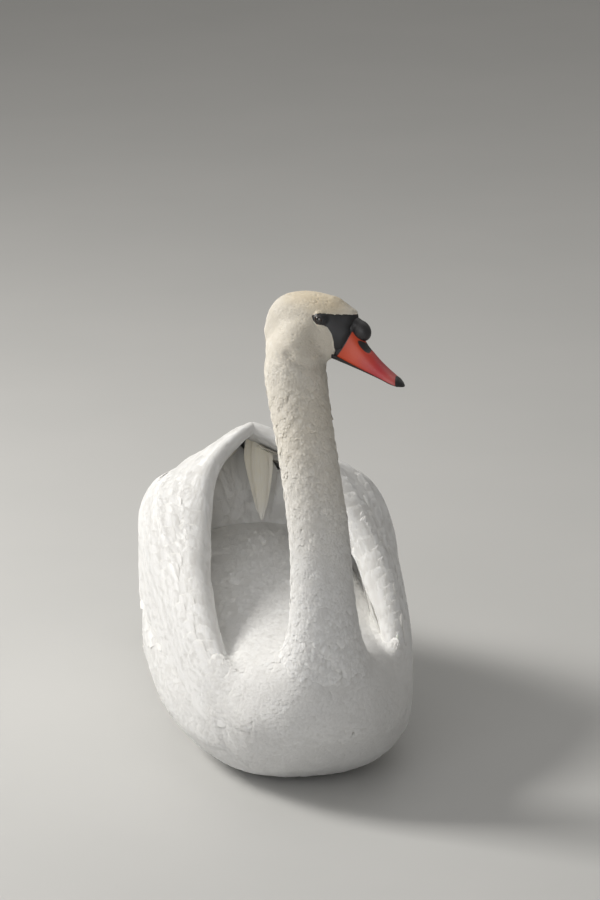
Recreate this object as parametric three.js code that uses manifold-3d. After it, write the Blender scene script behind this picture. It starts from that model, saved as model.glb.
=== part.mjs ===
// A mute swan, life size, sitting on its belly with both wings arched over its back, its neck raised and its
// head turned to its left.
//
// Millimetres, +Z up. The bird faces -Y and its left side is +X. The origin is the centre of the flat of the
// belly that it rests on. A "station" is a distance behind the front of the breast, so it runs from 0 at the
// breast to about 790 at the tip of the tail.

import * as THREE from 'three';
import { LoftGeometry } from 'three/addons/geometries/LoftGeometry.js';
import { mergeVertices } from 'three/addons/utils/BufferGeometryUtils.js';
import Module from 'manifold-3d';

const wasm = await Module();
wasm.setup();

// ---------------------------------------------------------------- driving dimensions

const BREAST_Y = -360; // y of station 0, the front of the breast
const WATERLINE = 85; // height at which a live bird floats; the wings are measured from here
const GAP = 0.35; // clearance between neighbouring parts
const EYE_RADIUS = 6.5;
const EYE_SIDE = 22.5; // from the middle of the head to the centre of an eye
const HEAD_AT = [19, -232.5, 589.5]; // the point midway between the eyes
const HEAD_TURN = -39.8; // degrees about +Z, from +X
const HEAD_DROP = 11; // degrees that the bill dips
const HEAD_TILT = -8; // degrees that the crown leans to the bird's left
const HINGE = [68, 28]; // station and girth of the shoulder, from which the wing feathers fan out
const MIDDLE_GAP = 3; // from the middle of the bird to the nearest feather tip of a wing
const CURL_TURN = THREE.MathUtils.degToRad(60); // how far the top of a raised wing turns inwards
const FOOT_STATION = 440; // where the toes join
const FOOT_SIDE = 78;

const WHITE = { color: 0xf0ede4, roughness: 0.8, metalness: 0 };
const CREAM = { color: 0xece2cf, roughness: 0.85, metalness: 0 };
const ORANGE = { color: 0xc8401f, roughness: 0.4, metalness: 0 };
const BLACK = { color: 0x121214, roughness: 0.45, metalness: 0 };
const SLATE = { color: 0x2b2b2e, roughness: 0.6, metalness: 0 };
const EYE_BROWN = { color: 0x140c08, roughness: 0.1, metalness: 0 };

// ---------------------------------------------------------------- tools

// A smooth function through rows of [position, value, value, ...].
function through(rows) {
  const at = new Float32Array(rows.map((row) => row[0]));
  const values = new Float32Array(rows.flatMap((row) => row.slice(1)));
  const curve = new THREE.CubicInterpolant(at, values, rows[0].length - 1);
  return (s) => Array.from(curve.evaluate(THREE.MathUtils.clamp(s, at[0], at[at.length - 1])));
}

const signedPower = (value, power) => Math.sign(value) * Math.abs(value) ** power;
const stationY = (station) => BREAST_Y + station;

// Evenly spaced numbers, crowded towards both ends where ease is true.
function steps(from, to, count, ease = false) {
  return Array.from({ length: count + 1 }, (_, i) => {
    const share = ease ? (1 - Math.cos((Math.PI * i) / count)) / 2 : i / count;
    return from + (to - from) * share;
  });
}

// A closed manifold solid from a geometry.
function solid(geometry) {
  const bare = new THREE.BufferGeometry();
  bare.setAttribute('position', geometry.attributes.position);
  if (geometry.index) bare.setIndex(geometry.index);
  const merged = mergeVertices(bare, 1e-3);
  const index = merged.index.array;
  const corners = [];
  for (let i = 0; i < index.length; i += 3) {
    const [a, b, c] = index.subarray(i, i + 3);
    if (a !== b && b !== c && c !== a) corners.push(a, b, c);
  }
  return new wasm.Manifold(new wasm.Mesh({
    numProp: 3,
    vertProperties: new Float32Array(merged.attributes.position.array),
    triVerts: new Uint32Array(corners),
  }));
}

const middle = (ring) => ring.reduce((sum, p) => sum.add(p), new THREE.Vector3()).divideScalar(ring.length);

// A solid through rings of points, which are turned round where they would leave its walls facing in.
function loft(rings) {
  const [start, ahead] = [middle(rings[0]), middle(rings[1]).sub(middle(rings[0]))];
  const facing = rings[0].reduce((sum, p, i, ring) => {
    const next = ring[(i + 1) % ring.length].clone().sub(start);
    return sum.add(p.clone().sub(start).cross(next));
  }, new THREE.Vector3());
  const sections = facing.dot(ahead) > 0 ? rings : rings.map((ring) => [...ring].reverse());
  return solid(new LoftGeometry(sections, { capStart: true, capEnd: true }));
}

// The largest single body of a solid, which drops the crumbs that a cut leaves.
const largest = (made) => made.decompose().sort((a, b) => b.volume() - a.volume())[0];

const joined = (solids) => solids.reduce((whole, next) => whole.add(next));

// A named mesh from a solid. Where it hangs in a group that is placed by a matrix, the solid is brought into it.
function part(name, made, finish, placement = null) {
  const { numProp, vertProperties, triVerts } = made.getMesh();
  const positions = new Float32Array((vertProperties.length / numProp) * 3);
  for (let i = 0; i < positions.length / 3; i += 1) {
    positions.set(vertProperties.subarray(i * numProp, i * numProp + 3), i * 3);
  }
  const geometry = new THREE.BufferGeometry();
  geometry.setAttribute('position', new THREE.BufferAttribute(positions, 3));
  geometry.setIndex(new THREE.BufferAttribute(new Uint32Array(triVerts), 1));
  if (placement) geometry.applyMatrix4(placement.clone().invert());
  geometry.computeVertexNormals();
  const mesh = new THREE.Mesh(geometry, new THREE.MeshStandardMaterial(finish));
  mesh.name = name;
  return mesh;
}

// A ring of a body whose section is widest at one height and has a fuller belly than back.
function bodyRing(count, across, halfWidth, bottom, top, widest, fullness, place) {
  return Array.from({ length: count }, (_, i) => {
    const angle = (2 * Math.PI * i) / count;
    const up = Math.sin(angle);
    const power = 2 / (up < 0 ? fullness[0] : fullness[1]);
    const side = across + halfWidth * signedPower(Math.cos(angle), power);
    const reach = up < 0 ? widest - bottom : top - widest;
    return place(side, widest + reach * signedPower(up, power));
  });
}

// ---------------------------------------------------------------- trunk

// Station: half width, bottom, top, height of the widest place, squareness of the back.
const trunkAt = through([
  [0, 10, 112, 134, 123, 2],
  [12, 46, 94, 160, 118, 2.3],
  [34, 72, 76, 180, 110, 2.6],
  [60, 90, 46, 189, 102, 2.7],
  [100, 110, 18, 190, 95, 2.6],
  [150, 131, 0, 185, 90, 2.3],
  [205, 146, -6, 186, 90, 2.15],
  [260, 154, -7, 192, 96, 2.1],
  [330, 155, -7, 206, 104, 2.1],
  [400, 151, -7, 222, 108, 2.1],
  [470, 139, -3, 231, 112, 2.1],
  [540, 117, 12, 220, 116, 2.1],
  [600, 88, 42, 194, 120, 2],
  [650, 60, 74, 166, 121, 2],
  [688, 36, 98, 142, 120, 2],
]);

function trunkSolid(grow = 0) {
  return loft(steps(0, 688, 19, true).map((station) => {
    const [halfWidth, bottom, top, widest, squareness] = trunkAt(station);
    const place = (x, z) => new THREE.Vector3(x, stationY(station), z);
    return bodyRing(26, 0, halfWidth + grow, bottom - grow, top + grow, widest, [2.5, squareness], place);
  }));
}

// ---------------------------------------------------------------- neck

// The line of the neck from inside the breast to inside the head, and its half thickness [side, fore and aft].
const NECK_LINE = [
  [1, -262, 108],
  [0, -290, 152],
  [-2.5, -305, 208],
  [-4.5, -302, 278],
  [-6, -294, 336],
  [-11, -282, 392],
  [-15.5, -264.5, 446],
  [-20, -245.5, 496],
  [-21, -231, 540],
  [-11, -224, 582],
];
const neckGirth = through([
  [0, 74, 62],
  [0.11, 66, 58],
  [0.23, 46, 47],
  [0.36, 38.5, 41],
  [0.5, 37, 39],
  [0.65, 36, 38],
  [0.8, 36.5, 38],
  [0.92, 37, 38],
  [1, 24, 28],
]);

function neckSolid(grow = 0) {
  const line = new THREE.CatmullRomCurve3(NECK_LINE.map((p) => new THREE.Vector3(...p)));
  const sections = steps(0, 1, 18).map((share) => {
    const centre = line.getPointAt(share);
    const rise = line.getTangentAt(share);
    const aft = new THREE.Vector3().crossVectors(rise, new THREE.Vector3(1, 0, 0)).normalize();
    const side = new THREE.Vector3().crossVectors(aft, rise).normalize();
    const [sideways, foreAndAft] = neckGirth(share).map((r) => r + grow);
    return Array.from({ length: 20 }, (_, i) => {
      const angle = (2 * Math.PI * i) / 20;
      return centre.clone()
        .addScaledVector(side, sideways * Math.cos(angle))
        .addScaledVector(aft, foreAndAft * Math.sin(angle));
    });
  });
  return loft(sections);
}

// ---------------------------------------------------------------- head, in its own frame

// The head's frame: x along the bill, y to the bird's left, z to the crown, from midway between the eyes.
const head = new THREE.Group();
head.position.set(...HEAD_AT);
head.rotation.set(...[HEAD_TILT, HEAD_DROP, HEAD_TURN].map(THREE.MathUtils.degToRad), 'ZYX');
head.updateMatrix();

const inHeadFrame = (x) => (y, z) => new THREE.Vector3(x, y, z).applyMatrix4(head.matrix);

// Distance along the head: half width, bottom, top, height of the widest place.
const skullAt = through([
  [-76, 8, -36, -12, -24],
  [-70, 19, -46, 1, -23],
  [-58, 26, -52, 13, -20],
  [-40, 29.5, -52, 21.5, -17],
  [-20, 29.5, -51, 26.5, -15],
  [-4, 28.5, -51, 26, -15],
  [10, 25.5, -49, 23, -16],
  [22, 21.5, -46.5, 18, -17],
  [32, 18, -44.5, 12, -18],
  [40, 15.5, -43, 6, -20],
]);

function skullSolid() {
  return loft(steps(-76, 40, 13).map((x) => {
    const [halfWidth, bottom, top, widest] = skullAt(x);
    return bodyRing(18, 0, halfWidth, bottom, top, widest, [2.2, 2.1], inHeadFrame(x));
  }));
}

// Distance along the bill: half width, cutting edge, ridge.
const upperBillAt = through([
  [26, 15.6, -38, 7],
  [34, 15.4, -39.4, 2],
  [44, 15, -41, -5],
  [54, 14.2, -42.6, -13],
  [66, 13.4, -44.4, -22],
  [78, 12.8, -46.2, -29.5],
  [90, 12.6, -48, -35.6],
  [100, 12.2, -49.6, -40],
  [108, 10.4, -50.8, -43.2],
  [113, 6.8, -51.4, -45.8],
  [116, 2.6, -51, -48.4],
]);

// The cutting edge is a hard corner: the ring runs flat along it and arches over the ridge.
function upperBillSolid(grow = 0) {
  return loft(steps(26, 116, 11).map((x, i) => {
    const [halfWidth, edge, ridge] = upperBillAt(x);
    const shift = i === 11 ? grow : 0;
    const place = inHeadFrame(x + shift);
    const arch = steps(0, Math.PI, 8).map((angle) => place(
      (halfWidth + grow) * signedPower(Math.cos(angle), 0.86),
      edge - grow + (ridge - edge + 2 * grow) * signedPower(Math.sin(angle), 0.9),
    ));
    return [...arch, place(0, edge - grow)];
  }));
}

// Distance along the bill: half width, underside.
const lowerBillAt = through([
  [22, 14.4, -45.5],
  [44, 13.6, -47.5],
  [66, 12.2, -49],
  [90, 11.4, -51.2],
  [102, 10.6, -53],
  [109, 6.5, -53.4],
]);

function lowerBillSolid(grow = 0) {
  return loft(steps(22, 109, 7).map((x) => {
    const [halfWidth, underside] = lowerBillAt(x);
    const edge = upperBillAt(Math.max(x, 26))[1] - GAP;
    const place = inHeadFrame(x);
    const bow = steps(Math.PI, 2 * Math.PI, 6).map((angle) => place(
      (halfWidth + grow) * signedPower(Math.cos(angle), 0.8),
      edge + grow + (edge - underside + 2 * grow) * signedPower(Math.sin(angle), 0.8),
    ));
    return [...bow, place(0, edge + grow)];
  }));
}

// An egg shape, given by the half lengths of its axes and a slope that lets its front hang.
function eggSolid(centre, radii, droop, grow = 0, detail = [12, 8]) {
  const egg = new THREE.SphereGeometry(1, ...detail);
  egg.scale(...radii.map((r) => r + grow));
  egg.rotateY(THREE.MathUtils.degToRad(droop));
  egg.translate(...centre);
  egg.applyMatrix4(head.matrix);
  return solid(egg);
}

const knobSolid = (grow = 0) => eggSolid([43.5, 0, -2], [15.5, 10.5, 12], 25, grow, [14, 10]);
const nailSolid = (grow = 0) => eggSolid([112, 0, -47], [11, 8.6, 9], 20, grow, [10, 8]);
const eyeSolid = (side, grow = 0) => eggSolid([0, side * EYE_SIDE, 0], [1, 1, 1].map((k) => k * EYE_RADIUS), 0, grow, [10, 8]);

// ---------------------------------------------------------------- wings

// The sheet of a raised wing is a side that stands upright, a curl over its top and a slope in to the middle.
// Station: half width of the side, its height over the waterline, radius of the curl.
const wingAt = through([
  [44, 94, 6, 40],
  [74, 108, 12, 48],
  [100, 116, 22, 55],
  [130, 127, 36, 62],
  [160, 137, 50, 68],
  [200, 147, 72, 76],
  [250, 154, 94, 82],
  [300, 159, 114, 84],
  [350, 162, 140, 80],
  [400, 159, 164, 69],
  [450, 149, 163, 66],
  [500, 137, 150, 66],
  [550, 124, 132, 64],
  [600, 108, 112, 61],
  [650, 89, 92, 54],
  [700, 67, 70, 43],
  [750, 46, 48, 34],
]);

// The point of a wing's sheet at a station and a girth, which is measured up the side from the waterline and
// over the curl, raised by an offset along the sheet's normal. side is 1 on the left and -1 on the right.
function onWing(side, station, girth, offset = 0) {
  const [halfWidth, upright, radius] = wingAt(station);
  const turn = THREE.MathUtils.clamp((girth - upright) / radius, 0, CURL_TURN);
  const slope = Math.max(0, girth - upright - radius * CURL_TURN);
  const rise = Math.min(girth, upright);
  const across = halfWidth - radius * (1 - Math.cos(turn)) - slope * Math.sin(CURL_TURN) + offset * Math.cos(turn);
  const height = WATERLINE + rise + radius * Math.sin(turn) + slope * Math.cos(CURL_TURN) + offset * Math.sin(turn);
  return new THREE.Vector3(side * across, stationY(station), height);
}

// The fleshy lobe of the wing: shoulder, arm and the coverts and scapulars that clothe them.
// Station: lowest girth, highest girth, greatest thickness.
const lobeAt = through([
  [46, 14, 34, 10],
  [62, 10, 50, 26],
  [90, 10, 70, 40],
  [130, 14, 90, 48],
  [180, 24, 114, 50],
  [240, 42, 144, 48],
  [310, 66, 200, 42],
  [370, 84, 246, 32],
  [430, 98, 252, 20],
  [490, 110, 226, 11],
  [540, 120, 186, 6],
  [575, 130, 160, 3],
]);

function lobeSolid(side, grow = 0) {
  const sections = steps(46, 575, 15, true).map((station) => {
    const [low, high, thick] = lobeAt(station);
    const shares = steps(0, 1, 8, true);
    const girth = (share) => low - grow + (high - low + 2 * grow) * share;
    const depth = (share) => 3 + thick * Math.sqrt(1 - share ** 3) * (1 - (1 - share) ** 3);
    const outside = shares.map((share) => onWing(side, station, girth(share), grow));
    const inside = shares.map((share) => onWing(side, station, girth(share), -depth(share) - grow)).reverse();
    return [...outside, ...inside];
  });
  return loft(sections);
}

// How far the feathers reach from the shoulder, for each angle of the fan in degrees.
const fanReach = through([
  [3, 672],
  [8, 650],
  [12, 640],
  [16, 618],
  [20, 598],
  [24, 580],
  [28, 562],
  [32, 547],
  [36, 533],
  [40, 512],
  [44, 480],
]);

// A fan of overlapping feathers as one thin solid. Every feather has a rounded tip and one raised edge that
// laps over its neighbour. place(turn, along, lift) gives a point from the angle of the fan, the share of the
// length from root to tip, and the height over the sheet.
function fanSolid(place, { from, to, count, tip, lap, thickness, lengthwise }) {
  const half = (to - from) / count / 2;
  const middles = Array.from({ length: count }, (_, i) => from + half * (2 * i + 1));
  const threads = middles.flatMap((angle) => [-0.96, -0.45, 0.45, 0.96].map((share) => [angle + half * share, share]));
  return loft(threads.map(([angle, share]) => {
    const edge = (along, offset) => place(
      angle,
      along - tip * Math.abs(share) ** 3 * along ** 3,
      offset - lap * share * (0.4 + 0.6 * along),
    );
    const over = lengthwise.map((along) => edge(along, thickness / 2));
    return [...over, ...lengthwise.map((along) => edge(along, -thickness / 2)).reverse()];
  }));
}

// The point of the wing at an angle of the fan and a distance from the shoulder. Feathers bend upwards.
function inFan(side, angle, distance, lift = 0) {
  const turn = THREE.MathUtils.degToRad(angle * (0.78 + 0.22 * (distance / 500) ** 2));
  return onWing(side, HINGE[0] + Math.cos(turn) * distance, HINGE[1] + Math.sin(turn) * distance, lift);
}

// A row of the wing's long feathers, which fan out from the shoulder, lie on the sheet of the wing and stop
// short of the middle of the bird.
function featherRow(side, { from, to, count, root, sink }) {
  const tipAt = (angle) => {
    let reach = fanReach(angle)[0];
    while (side * inFan(side, angle, reach, -sink).x < MIDDLE_GAP) reach -= 2;
    return reach;
  };
  const place = (angle, along, lift) => inFan(side, angle, tipAt(angle) * (root + (1 - root) * along), lift - sink);
  return fanSolid(place, { from, to, count, tip: 0.05, lap: 1.6, thickness: 2.2, lengthwise: [0, 0.3, 0.6, 0.85, 1] });
}

// Angles of the fan, number of feathers, where they start as a share of their reach, depth under the surface.
const ROWS = {
  tertials: { from: 27, to: 43, count: 5, root: 0.4, sink: 3.2 },
  secondaries: { from: 11, to: 30, count: 6, root: 0.46, sink: 10.2 },
  primaries: { from: 3, to: 13, count: 5, root: 0.46, sink: 17.2 },
};

// ---------------------------------------------------------------- tail

const TAIL_ROOT = [612, 124]; // station, height
const TAIL_SPREAD = 25; // degrees to each side
const TAIL_LENGTH = 172;

function tailSolid() {
  const place = (angle, along, lift) => {
    const turn = THREE.MathUtils.degToRad(angle);
    const reach = 30 + (TAIL_LENGTH - 30 * (angle / TAIL_SPREAD) ** 2) * along;
    return new THREE.Vector3(
      Math.sin(turn) * reach,
      stationY(TAIL_ROOT[0] - 30 + Math.cos(turn) * reach),
      TAIL_ROOT[1] + 22 * along * along - 9 * (angle / TAIL_SPREAD) ** 2 + lift,
    );
  };
  const shape = { from: -TAIL_SPREAD, to: TAIL_SPREAD, count: 7, tip: 0.06, lap: 1.4, thickness: 3 };
  return fanSolid(place, { ...shape, lengthwise: [0, 0.4, 0.75, 1] });
}

// ---------------------------------------------------------------- legs and feet

const TOES = { inner: [-17, 98], middle: [0, 124], outer: [15, 112] }; // splay in degrees, length

// A round member between points.
function memberSolid(points, radii, grow = 0) {
  const line = new THREE.CatmullRomCurve3(points.map((p) => new THREE.Vector3(...p)));
  const sections = steps(0, 1, 3).map((share) => {
    const centre = line.getPointAt(share);
    const along = line.getTangentAt(share);
    const side = new THREE.Vector3().crossVectors(along, new THREE.Vector3(0, 0, 1)).normalize();
    const up = new THREE.Vector3().crossVectors(side, along).normalize();
    const radius = THREE.MathUtils.lerp(radii[0], radii[1], share) + grow;
    return Array.from({ length: 6 }, (_, i) => {
      const angle = (2 * Math.PI * i) / 6;
      return centre.clone()
        .addScaledVector(side, radius * Math.cos(angle))
        .addScaledVector(up, radius * 0.85 * Math.sin(angle));
    });
  });
  return loft(sections);
}

// Everything of a solid that is above a height.
const above = (made, height) => made.trimByPlane([0, 0, 1], height);

function toeEnd(side, name, share = 1) {
  const [splay, length] = TOES[name];
  const turn = THREE.MathUtils.degToRad(splay);
  return [
    side * (FOOT_SIDE + Math.sin(turn) * length * share),
    stationY(FOOT_STATION) - Math.cos(turn) * length * share,
  ];
}

function footSolid(side, grow = 0) {
  const heel = [side * FOOT_SIDE, stationY(FOOT_STATION)];
  const toes = Object.keys(TOES).map((name) => {
    const end = toeEnd(side, name);
    return memberSolid([[...heel, 6], [...toeEnd(side, name, 0.5), 6], [...end, 4]], [7, 4], grow);
  });
  const web = new THREE.Shape();
  web.moveTo(side * (FOOT_SIDE + 1), heel[1] - 3);
  web.lineTo(...toeEnd(side, 'inner', 0.94));
  web.quadraticCurveTo(...toeEnd(side, 'inner', 0.8), ...toeEnd(side, 'middle', 0.93));
  web.quadraticCurveTo(...toeEnd(side, 'outer', 0.84), ...toeEnd(side, 'outer', 0.94));
  web.closePath();
  const sheet = new THREE.ExtrudeGeometry(web, { depth: 5 + grow, bevelEnabled: false, curveSegments: 2 });
  sheet.translate(0, 0, -1);
  const hind = memberSolid(
    [[side * (FOOT_SIDE - 6), heel[1] + 2, 8], [side * (FOOT_SIDE - 17), heel[1] + 8, 5], [side * (FOOT_SIDE - 24), heel[1] + 12, 3.5]],
    [4.5, 3],
    grow,
  );
  return above(joined([...toes, solid(sheet), hind]), 0);
}

function shankSolid(side, grow = 0) {
  const y = stationY(FOOT_STATION);
  return above(memberSolid(
    [[side * FOOT_SIDE, y + 6, 9], [side * (FOOT_SIDE - 5), y + 52, 13], [side * (FOOT_SIDE - 12), y + 100, 30]],
    [8, 12],
    grow,
  ), 0);
}

// ---------------------------------------------------------------- putting the bird together

// Splits a solid at a plane, leaving the clearance between the two sides.
function parted(made, normal, point) {
  const direction = new THREE.Vector3(...normal).normalize();
  const level = direction.dot(new THREE.Vector3(...point));
  const back = direction.clone().negate();
  return [
    made.trimByPlane(direction.toArray(), level + GAP / 2),
    made.trimByPlane(back.toArray(), -level + GAP / 2),
  ].map(largest);
}

const swan = new THREE.Group();
const sides = { right: -1, left: 1 };

const billParts = [knobSolid(GAP), upperBillSolid(GAP), lowerBillSolid(GAP), eyeSolid(1, GAP), eyeSolid(-1, GAP)];
const feet = Object.values(sides).flatMap((side) => [footSolid(side, GAP), shankSolid(side, GAP)]);
const flesh = joined([trunkSolid(), neckSolid(), skullSolid()]).subtract(joined(billParts));
const fleshRoom = joined([trunkSolid(GAP), neckSolid(GAP)]);

const [skull, headless] = parted(flesh, [0.32, -0.25, 0.9], [-2, -226, 552]);
const [neckTop, rest] = parted(headless, [0, 0.15, 1], [-7, -294, 372]);
const [neckFoot, trunk] = parted(rest, [0, -0.35, 1], [0, -296, 196]);
swan.add(part('trunk', largest(above(trunk, 0).subtract(joined(feet))), WHITE));
swan.add(part('neck_lower', neckFoot, CREAM));
swan.add(part('neck_upper', neckTop, CREAM));

head.add(part('head', skull, CREAM, head.matrix));
head.add(part('bill_upper', largest(upperBillSolid().subtract(knobSolid(GAP)).subtract(nailSolid(GAP))), ORANGE, head.matrix));
head.add(part('bill_nail', largest(upperBillSolid().intersect(nailSolid())), BLACK, head.matrix));
head.add(part('bill_knob', knobSolid(), BLACK, head.matrix));
head.add(part('bill_lower', lowerBillSolid(), BLACK, head.matrix));
for (const [name, side] of Object.entries(sides)) {
  head.add(part(`eye_${name}`, eyeSolid(side), EYE_BROWN, head.matrix));
}
swan.add(head);

for (const [name, side] of Object.entries(sides)) {
  const room = joined([fleshRoom, lobeSolid(side, GAP)]);
  swan.add(part(`wing_${name}`, largest(lobeSolid(side).subtract(fleshRoom)), WHITE));
  for (const [row, shape] of Object.entries(ROWS)) {
    swan.add(part(`wing_${name}_${row}`, largest(featherRow(side, shape).subtract(room)), WHITE));
  }
}

swan.add(part('tail', largest(tailSolid().subtract(trunkSolid(GAP))), WHITE));

for (const [name, side] of Object.entries(sides)) {
  swan.add(part(`leg_${name}`, largest(shankSolid(side).subtract(footSolid(side, GAP))), SLATE));
  swan.add(part(`foot_${name}`, largest(footSolid(side)), SLATE));
}

export default swan;
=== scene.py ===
import math
import bpy
import bmesh
import numpy as np
from mathutils import Euler, Matrix, Vector
from mathutils.bvhtree import BVHTree
from mathutils.kdtree import KDTree


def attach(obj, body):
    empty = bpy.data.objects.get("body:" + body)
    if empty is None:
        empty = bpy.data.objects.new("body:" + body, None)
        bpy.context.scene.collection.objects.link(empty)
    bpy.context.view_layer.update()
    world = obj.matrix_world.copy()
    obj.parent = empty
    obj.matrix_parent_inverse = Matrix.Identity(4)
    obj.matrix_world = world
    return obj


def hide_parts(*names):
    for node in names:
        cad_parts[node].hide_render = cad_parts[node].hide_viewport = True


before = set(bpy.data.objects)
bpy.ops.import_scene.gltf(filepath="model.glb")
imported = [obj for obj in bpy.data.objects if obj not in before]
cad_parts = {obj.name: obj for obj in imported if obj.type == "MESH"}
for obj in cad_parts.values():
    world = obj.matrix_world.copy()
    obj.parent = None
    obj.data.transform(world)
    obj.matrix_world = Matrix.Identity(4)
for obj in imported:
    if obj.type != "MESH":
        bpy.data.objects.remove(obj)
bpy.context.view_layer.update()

# A mute swan, life size, in metres: +Z up, the breast faces -Y, the bird's left side is +X.

mm = 0.001
chance = np.random.default_rng(11)
print("frame loaded")

# Small tools


def through(rows):  # a smooth function through rows of (position, value, value, ...)
    table = np.array(rows, float)
    at, values = table[:, 0], table[:, 1:]

    def evaluate(s):
        s = np.clip(np.asarray(s, float), at[0], at[-1])
        i = np.clip(np.searchsorted(at, s, side="right"), 1, len(at) - 1)
        before, after = np.where(i > 1, i - 2, i), np.where(i < len(at) - 1, i + 1, i - 1)
        span = (at[i] - at[i - 1]) / 2
        wp = (span / (at[i - 1] - at[before]))[..., None]
        wn = (span / (at[after] - at[i]))[..., None]
        p = ((s - at[i - 1]) / (at[i] - at[i - 1]))[..., None]
        return (
            (-wp * p**3 + 2 * wp * p**2 - wp * p) * values[before]
            + ((1 + wp) * p**3 + (-1.5 - 2 * wp) * p**2 + (wp - 0.5) * p + 1) * values[i - 1]
            + ((-1 - wn) * p**3 + (1.5 + wn) * p**2 + 0.5 * p) * values[i]
            + (wn * p**3 - wn * p**2) * values[after]
        )

    return evaluate


def ease(low, high, value):  # 0 up to low, 1 from high, smooth between; low may be the larger
    share = np.clip((value - low) / (high - low), 0, 1)
    return share * share * (3 - 2 * share)


def mix(a, b, share):
    return a + (b - a) * share


def unit(vectors):
    return vectors / np.maximum(np.linalg.norm(vectors, axis=-1, keepdims=True), 1e-12)


def ripple(points, wavelength, seed, waves=7):  # soft noise between about -1 and 1
    rolls = np.random.default_rng(seed)
    ways = unit(rolls.normal(size=(waves, 3))) * (2 * np.pi / wavelength)
    ways = ways * rolls.uniform(0.7, 1.4, (waves, 1))
    return np.sin(points @ ways.T + rolls.uniform(0, 6.28, waves)).sum(-1) / math.sqrt(waves)


def outlineDistance(points, outline):  # signed distance in a plane, negative inside
    a = np.array(outline, float)
    b = np.roll(a, -1, 0)
    edge, to = b - a, points[:, None, :] - a
    share = np.clip((to * edge).sum(-1) / (edge * edge).sum(-1), 0, 1)
    away = np.linalg.norm(to - share[..., None] * edge, axis=-1).min(1)
    below = (a[:, 1] <= points[:, None, 1]) != (b[:, 1] <= points[:, None, 1])
    rise = np.where(edge[:, 1] == 0, 1e-9, edge[:, 1])
    crosses = below & (points[:, None, 0] < a[:, 0] + (points[:, None, 1] - a[:, 1]) / rise * edge[:, 0])
    return np.where(crosses.sum(1) % 2 == 1, -away, away)


def readOut(items, field, width, kind=np.float32):
    values = np.empty(len(items) * width, kind)
    items.foreach_get(field, values)
    return values.reshape(-1, width)


def placesOf(mesh):
    return readOut(mesh.vertices, "co", 3).astype(float)


def normalsOf(mesh):
    return readOut(mesh.vertices, "normal", 3).astype(float)


def setPlaces(mesh, places):
    mesh.vertices.foreach_set("co", places.astype(np.float32).ravel())
    mesh.update()


def edgesOf(mesh):
    return readOut(mesh.edges, "vertices", 2, np.int32)


def relaxed(places, edges, rounds, strength=0.5):  # every vertex moves towards its neighbours' middle
    counts = np.bincount(edges.ravel(), minlength=len(places))[:, None]
    for _ in range(rounds):
        total = np.zeros_like(places)
        for axis in range(3):
            total[:, axis] = np.bincount(edges[:, 0], places[edges[:, 1], axis], len(places))
            total[:, axis] += np.bincount(edges[:, 1], places[edges[:, 0], axis], len(places))
        places = places + (total / np.maximum(counts, 1) - places) * strength
    return places


def placed(name, data):
    thing = bpy.data.objects.new(name, data)
    bpy.context.scene.collection.objects.link(thing)
    return thing


def meshFrom(made, name):  # the bmesh ends here
    mesh = bpy.data.meshes.new(name)
    made.to_mesh(mesh)
    made.free()
    return mesh


def newObject(name, mesh, finish, nodes=()):
    piece = placed(name, mesh)
    mesh.materials.clear()
    mesh.materials.append(finish)
    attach(piece, "root")
    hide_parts(*nodes)
    return piece


def smoothShaded(mesh):
    mesh.polygons.foreach_set("use_smooth", np.ones(len(mesh.polygons), bool))
    return mesh


def fused(name, mesh, voxel):  # a voxel remesh makes one closed surface of what overlaps
    rough = placed(name, mesh)
    change = rough.modifiers.new("remesh", "REMESH")
    change.mode = "VOXEL"
    change.voxel_size = voxel
    seen = rough.evaluated_get(bpy.context.evaluated_depsgraph_get())
    whole = bpy.data.meshes.new_from_object(seen)
    bpy.data.objects.remove(rough)
    bpy.data.meshes.remove(mesh)
    whole.name = name
    return whole


def remeshed(name, nodes, voxel, grow=0.0):  # one closed mesh round copies of CAD nodes
    made = bmesh.new()
    for node in nodes:
        made.from_mesh(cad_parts[node].data)
    bmesh.ops.remove_doubles(made, verts=made.verts, dist=1e-5)
    made.normal_update()
    for vert in made.verts:
        vert.co += vert.normal * grow
    return fused(name, meshFrom(made, name), voxel)


# Shader tools


class Wire:  # a socket that adds Math nodes when it is reckoned with
    def __init__(self, finish, socket):
        self.finish, self.socket = finish, socket

    def math(self, operation, *values):
        return self.finish.add("ShaderNodeMath", {"operation": operation}, *values)

    def __add__(self, other):
        return self.math("ADD", self, other)

    __radd__ = __add__

    def __mul__(self, other):
        return self.math("MULTIPLY", self, other)

    __rmul__ = __mul__

    def __sub__(self, other):
        return self.math("SUBTRACT", self, other)

    def __rsub__(self, other):
        return self.math("SUBTRACT", other, self)

    def __pow__(self, other):
        return self.math("POWER", self, other)

    def __abs__(self):
        return self.math("ABSOLUTE", self)

    def between(self, low, high):  # 0 at low, 1 at high, smooth between
        kind = {"interpolation_type": "SMOOTHSTEP"}
        return self.finish.add("ShaderNodeMapRange", kind, self, low, high, 0.0, 1.0)


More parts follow.
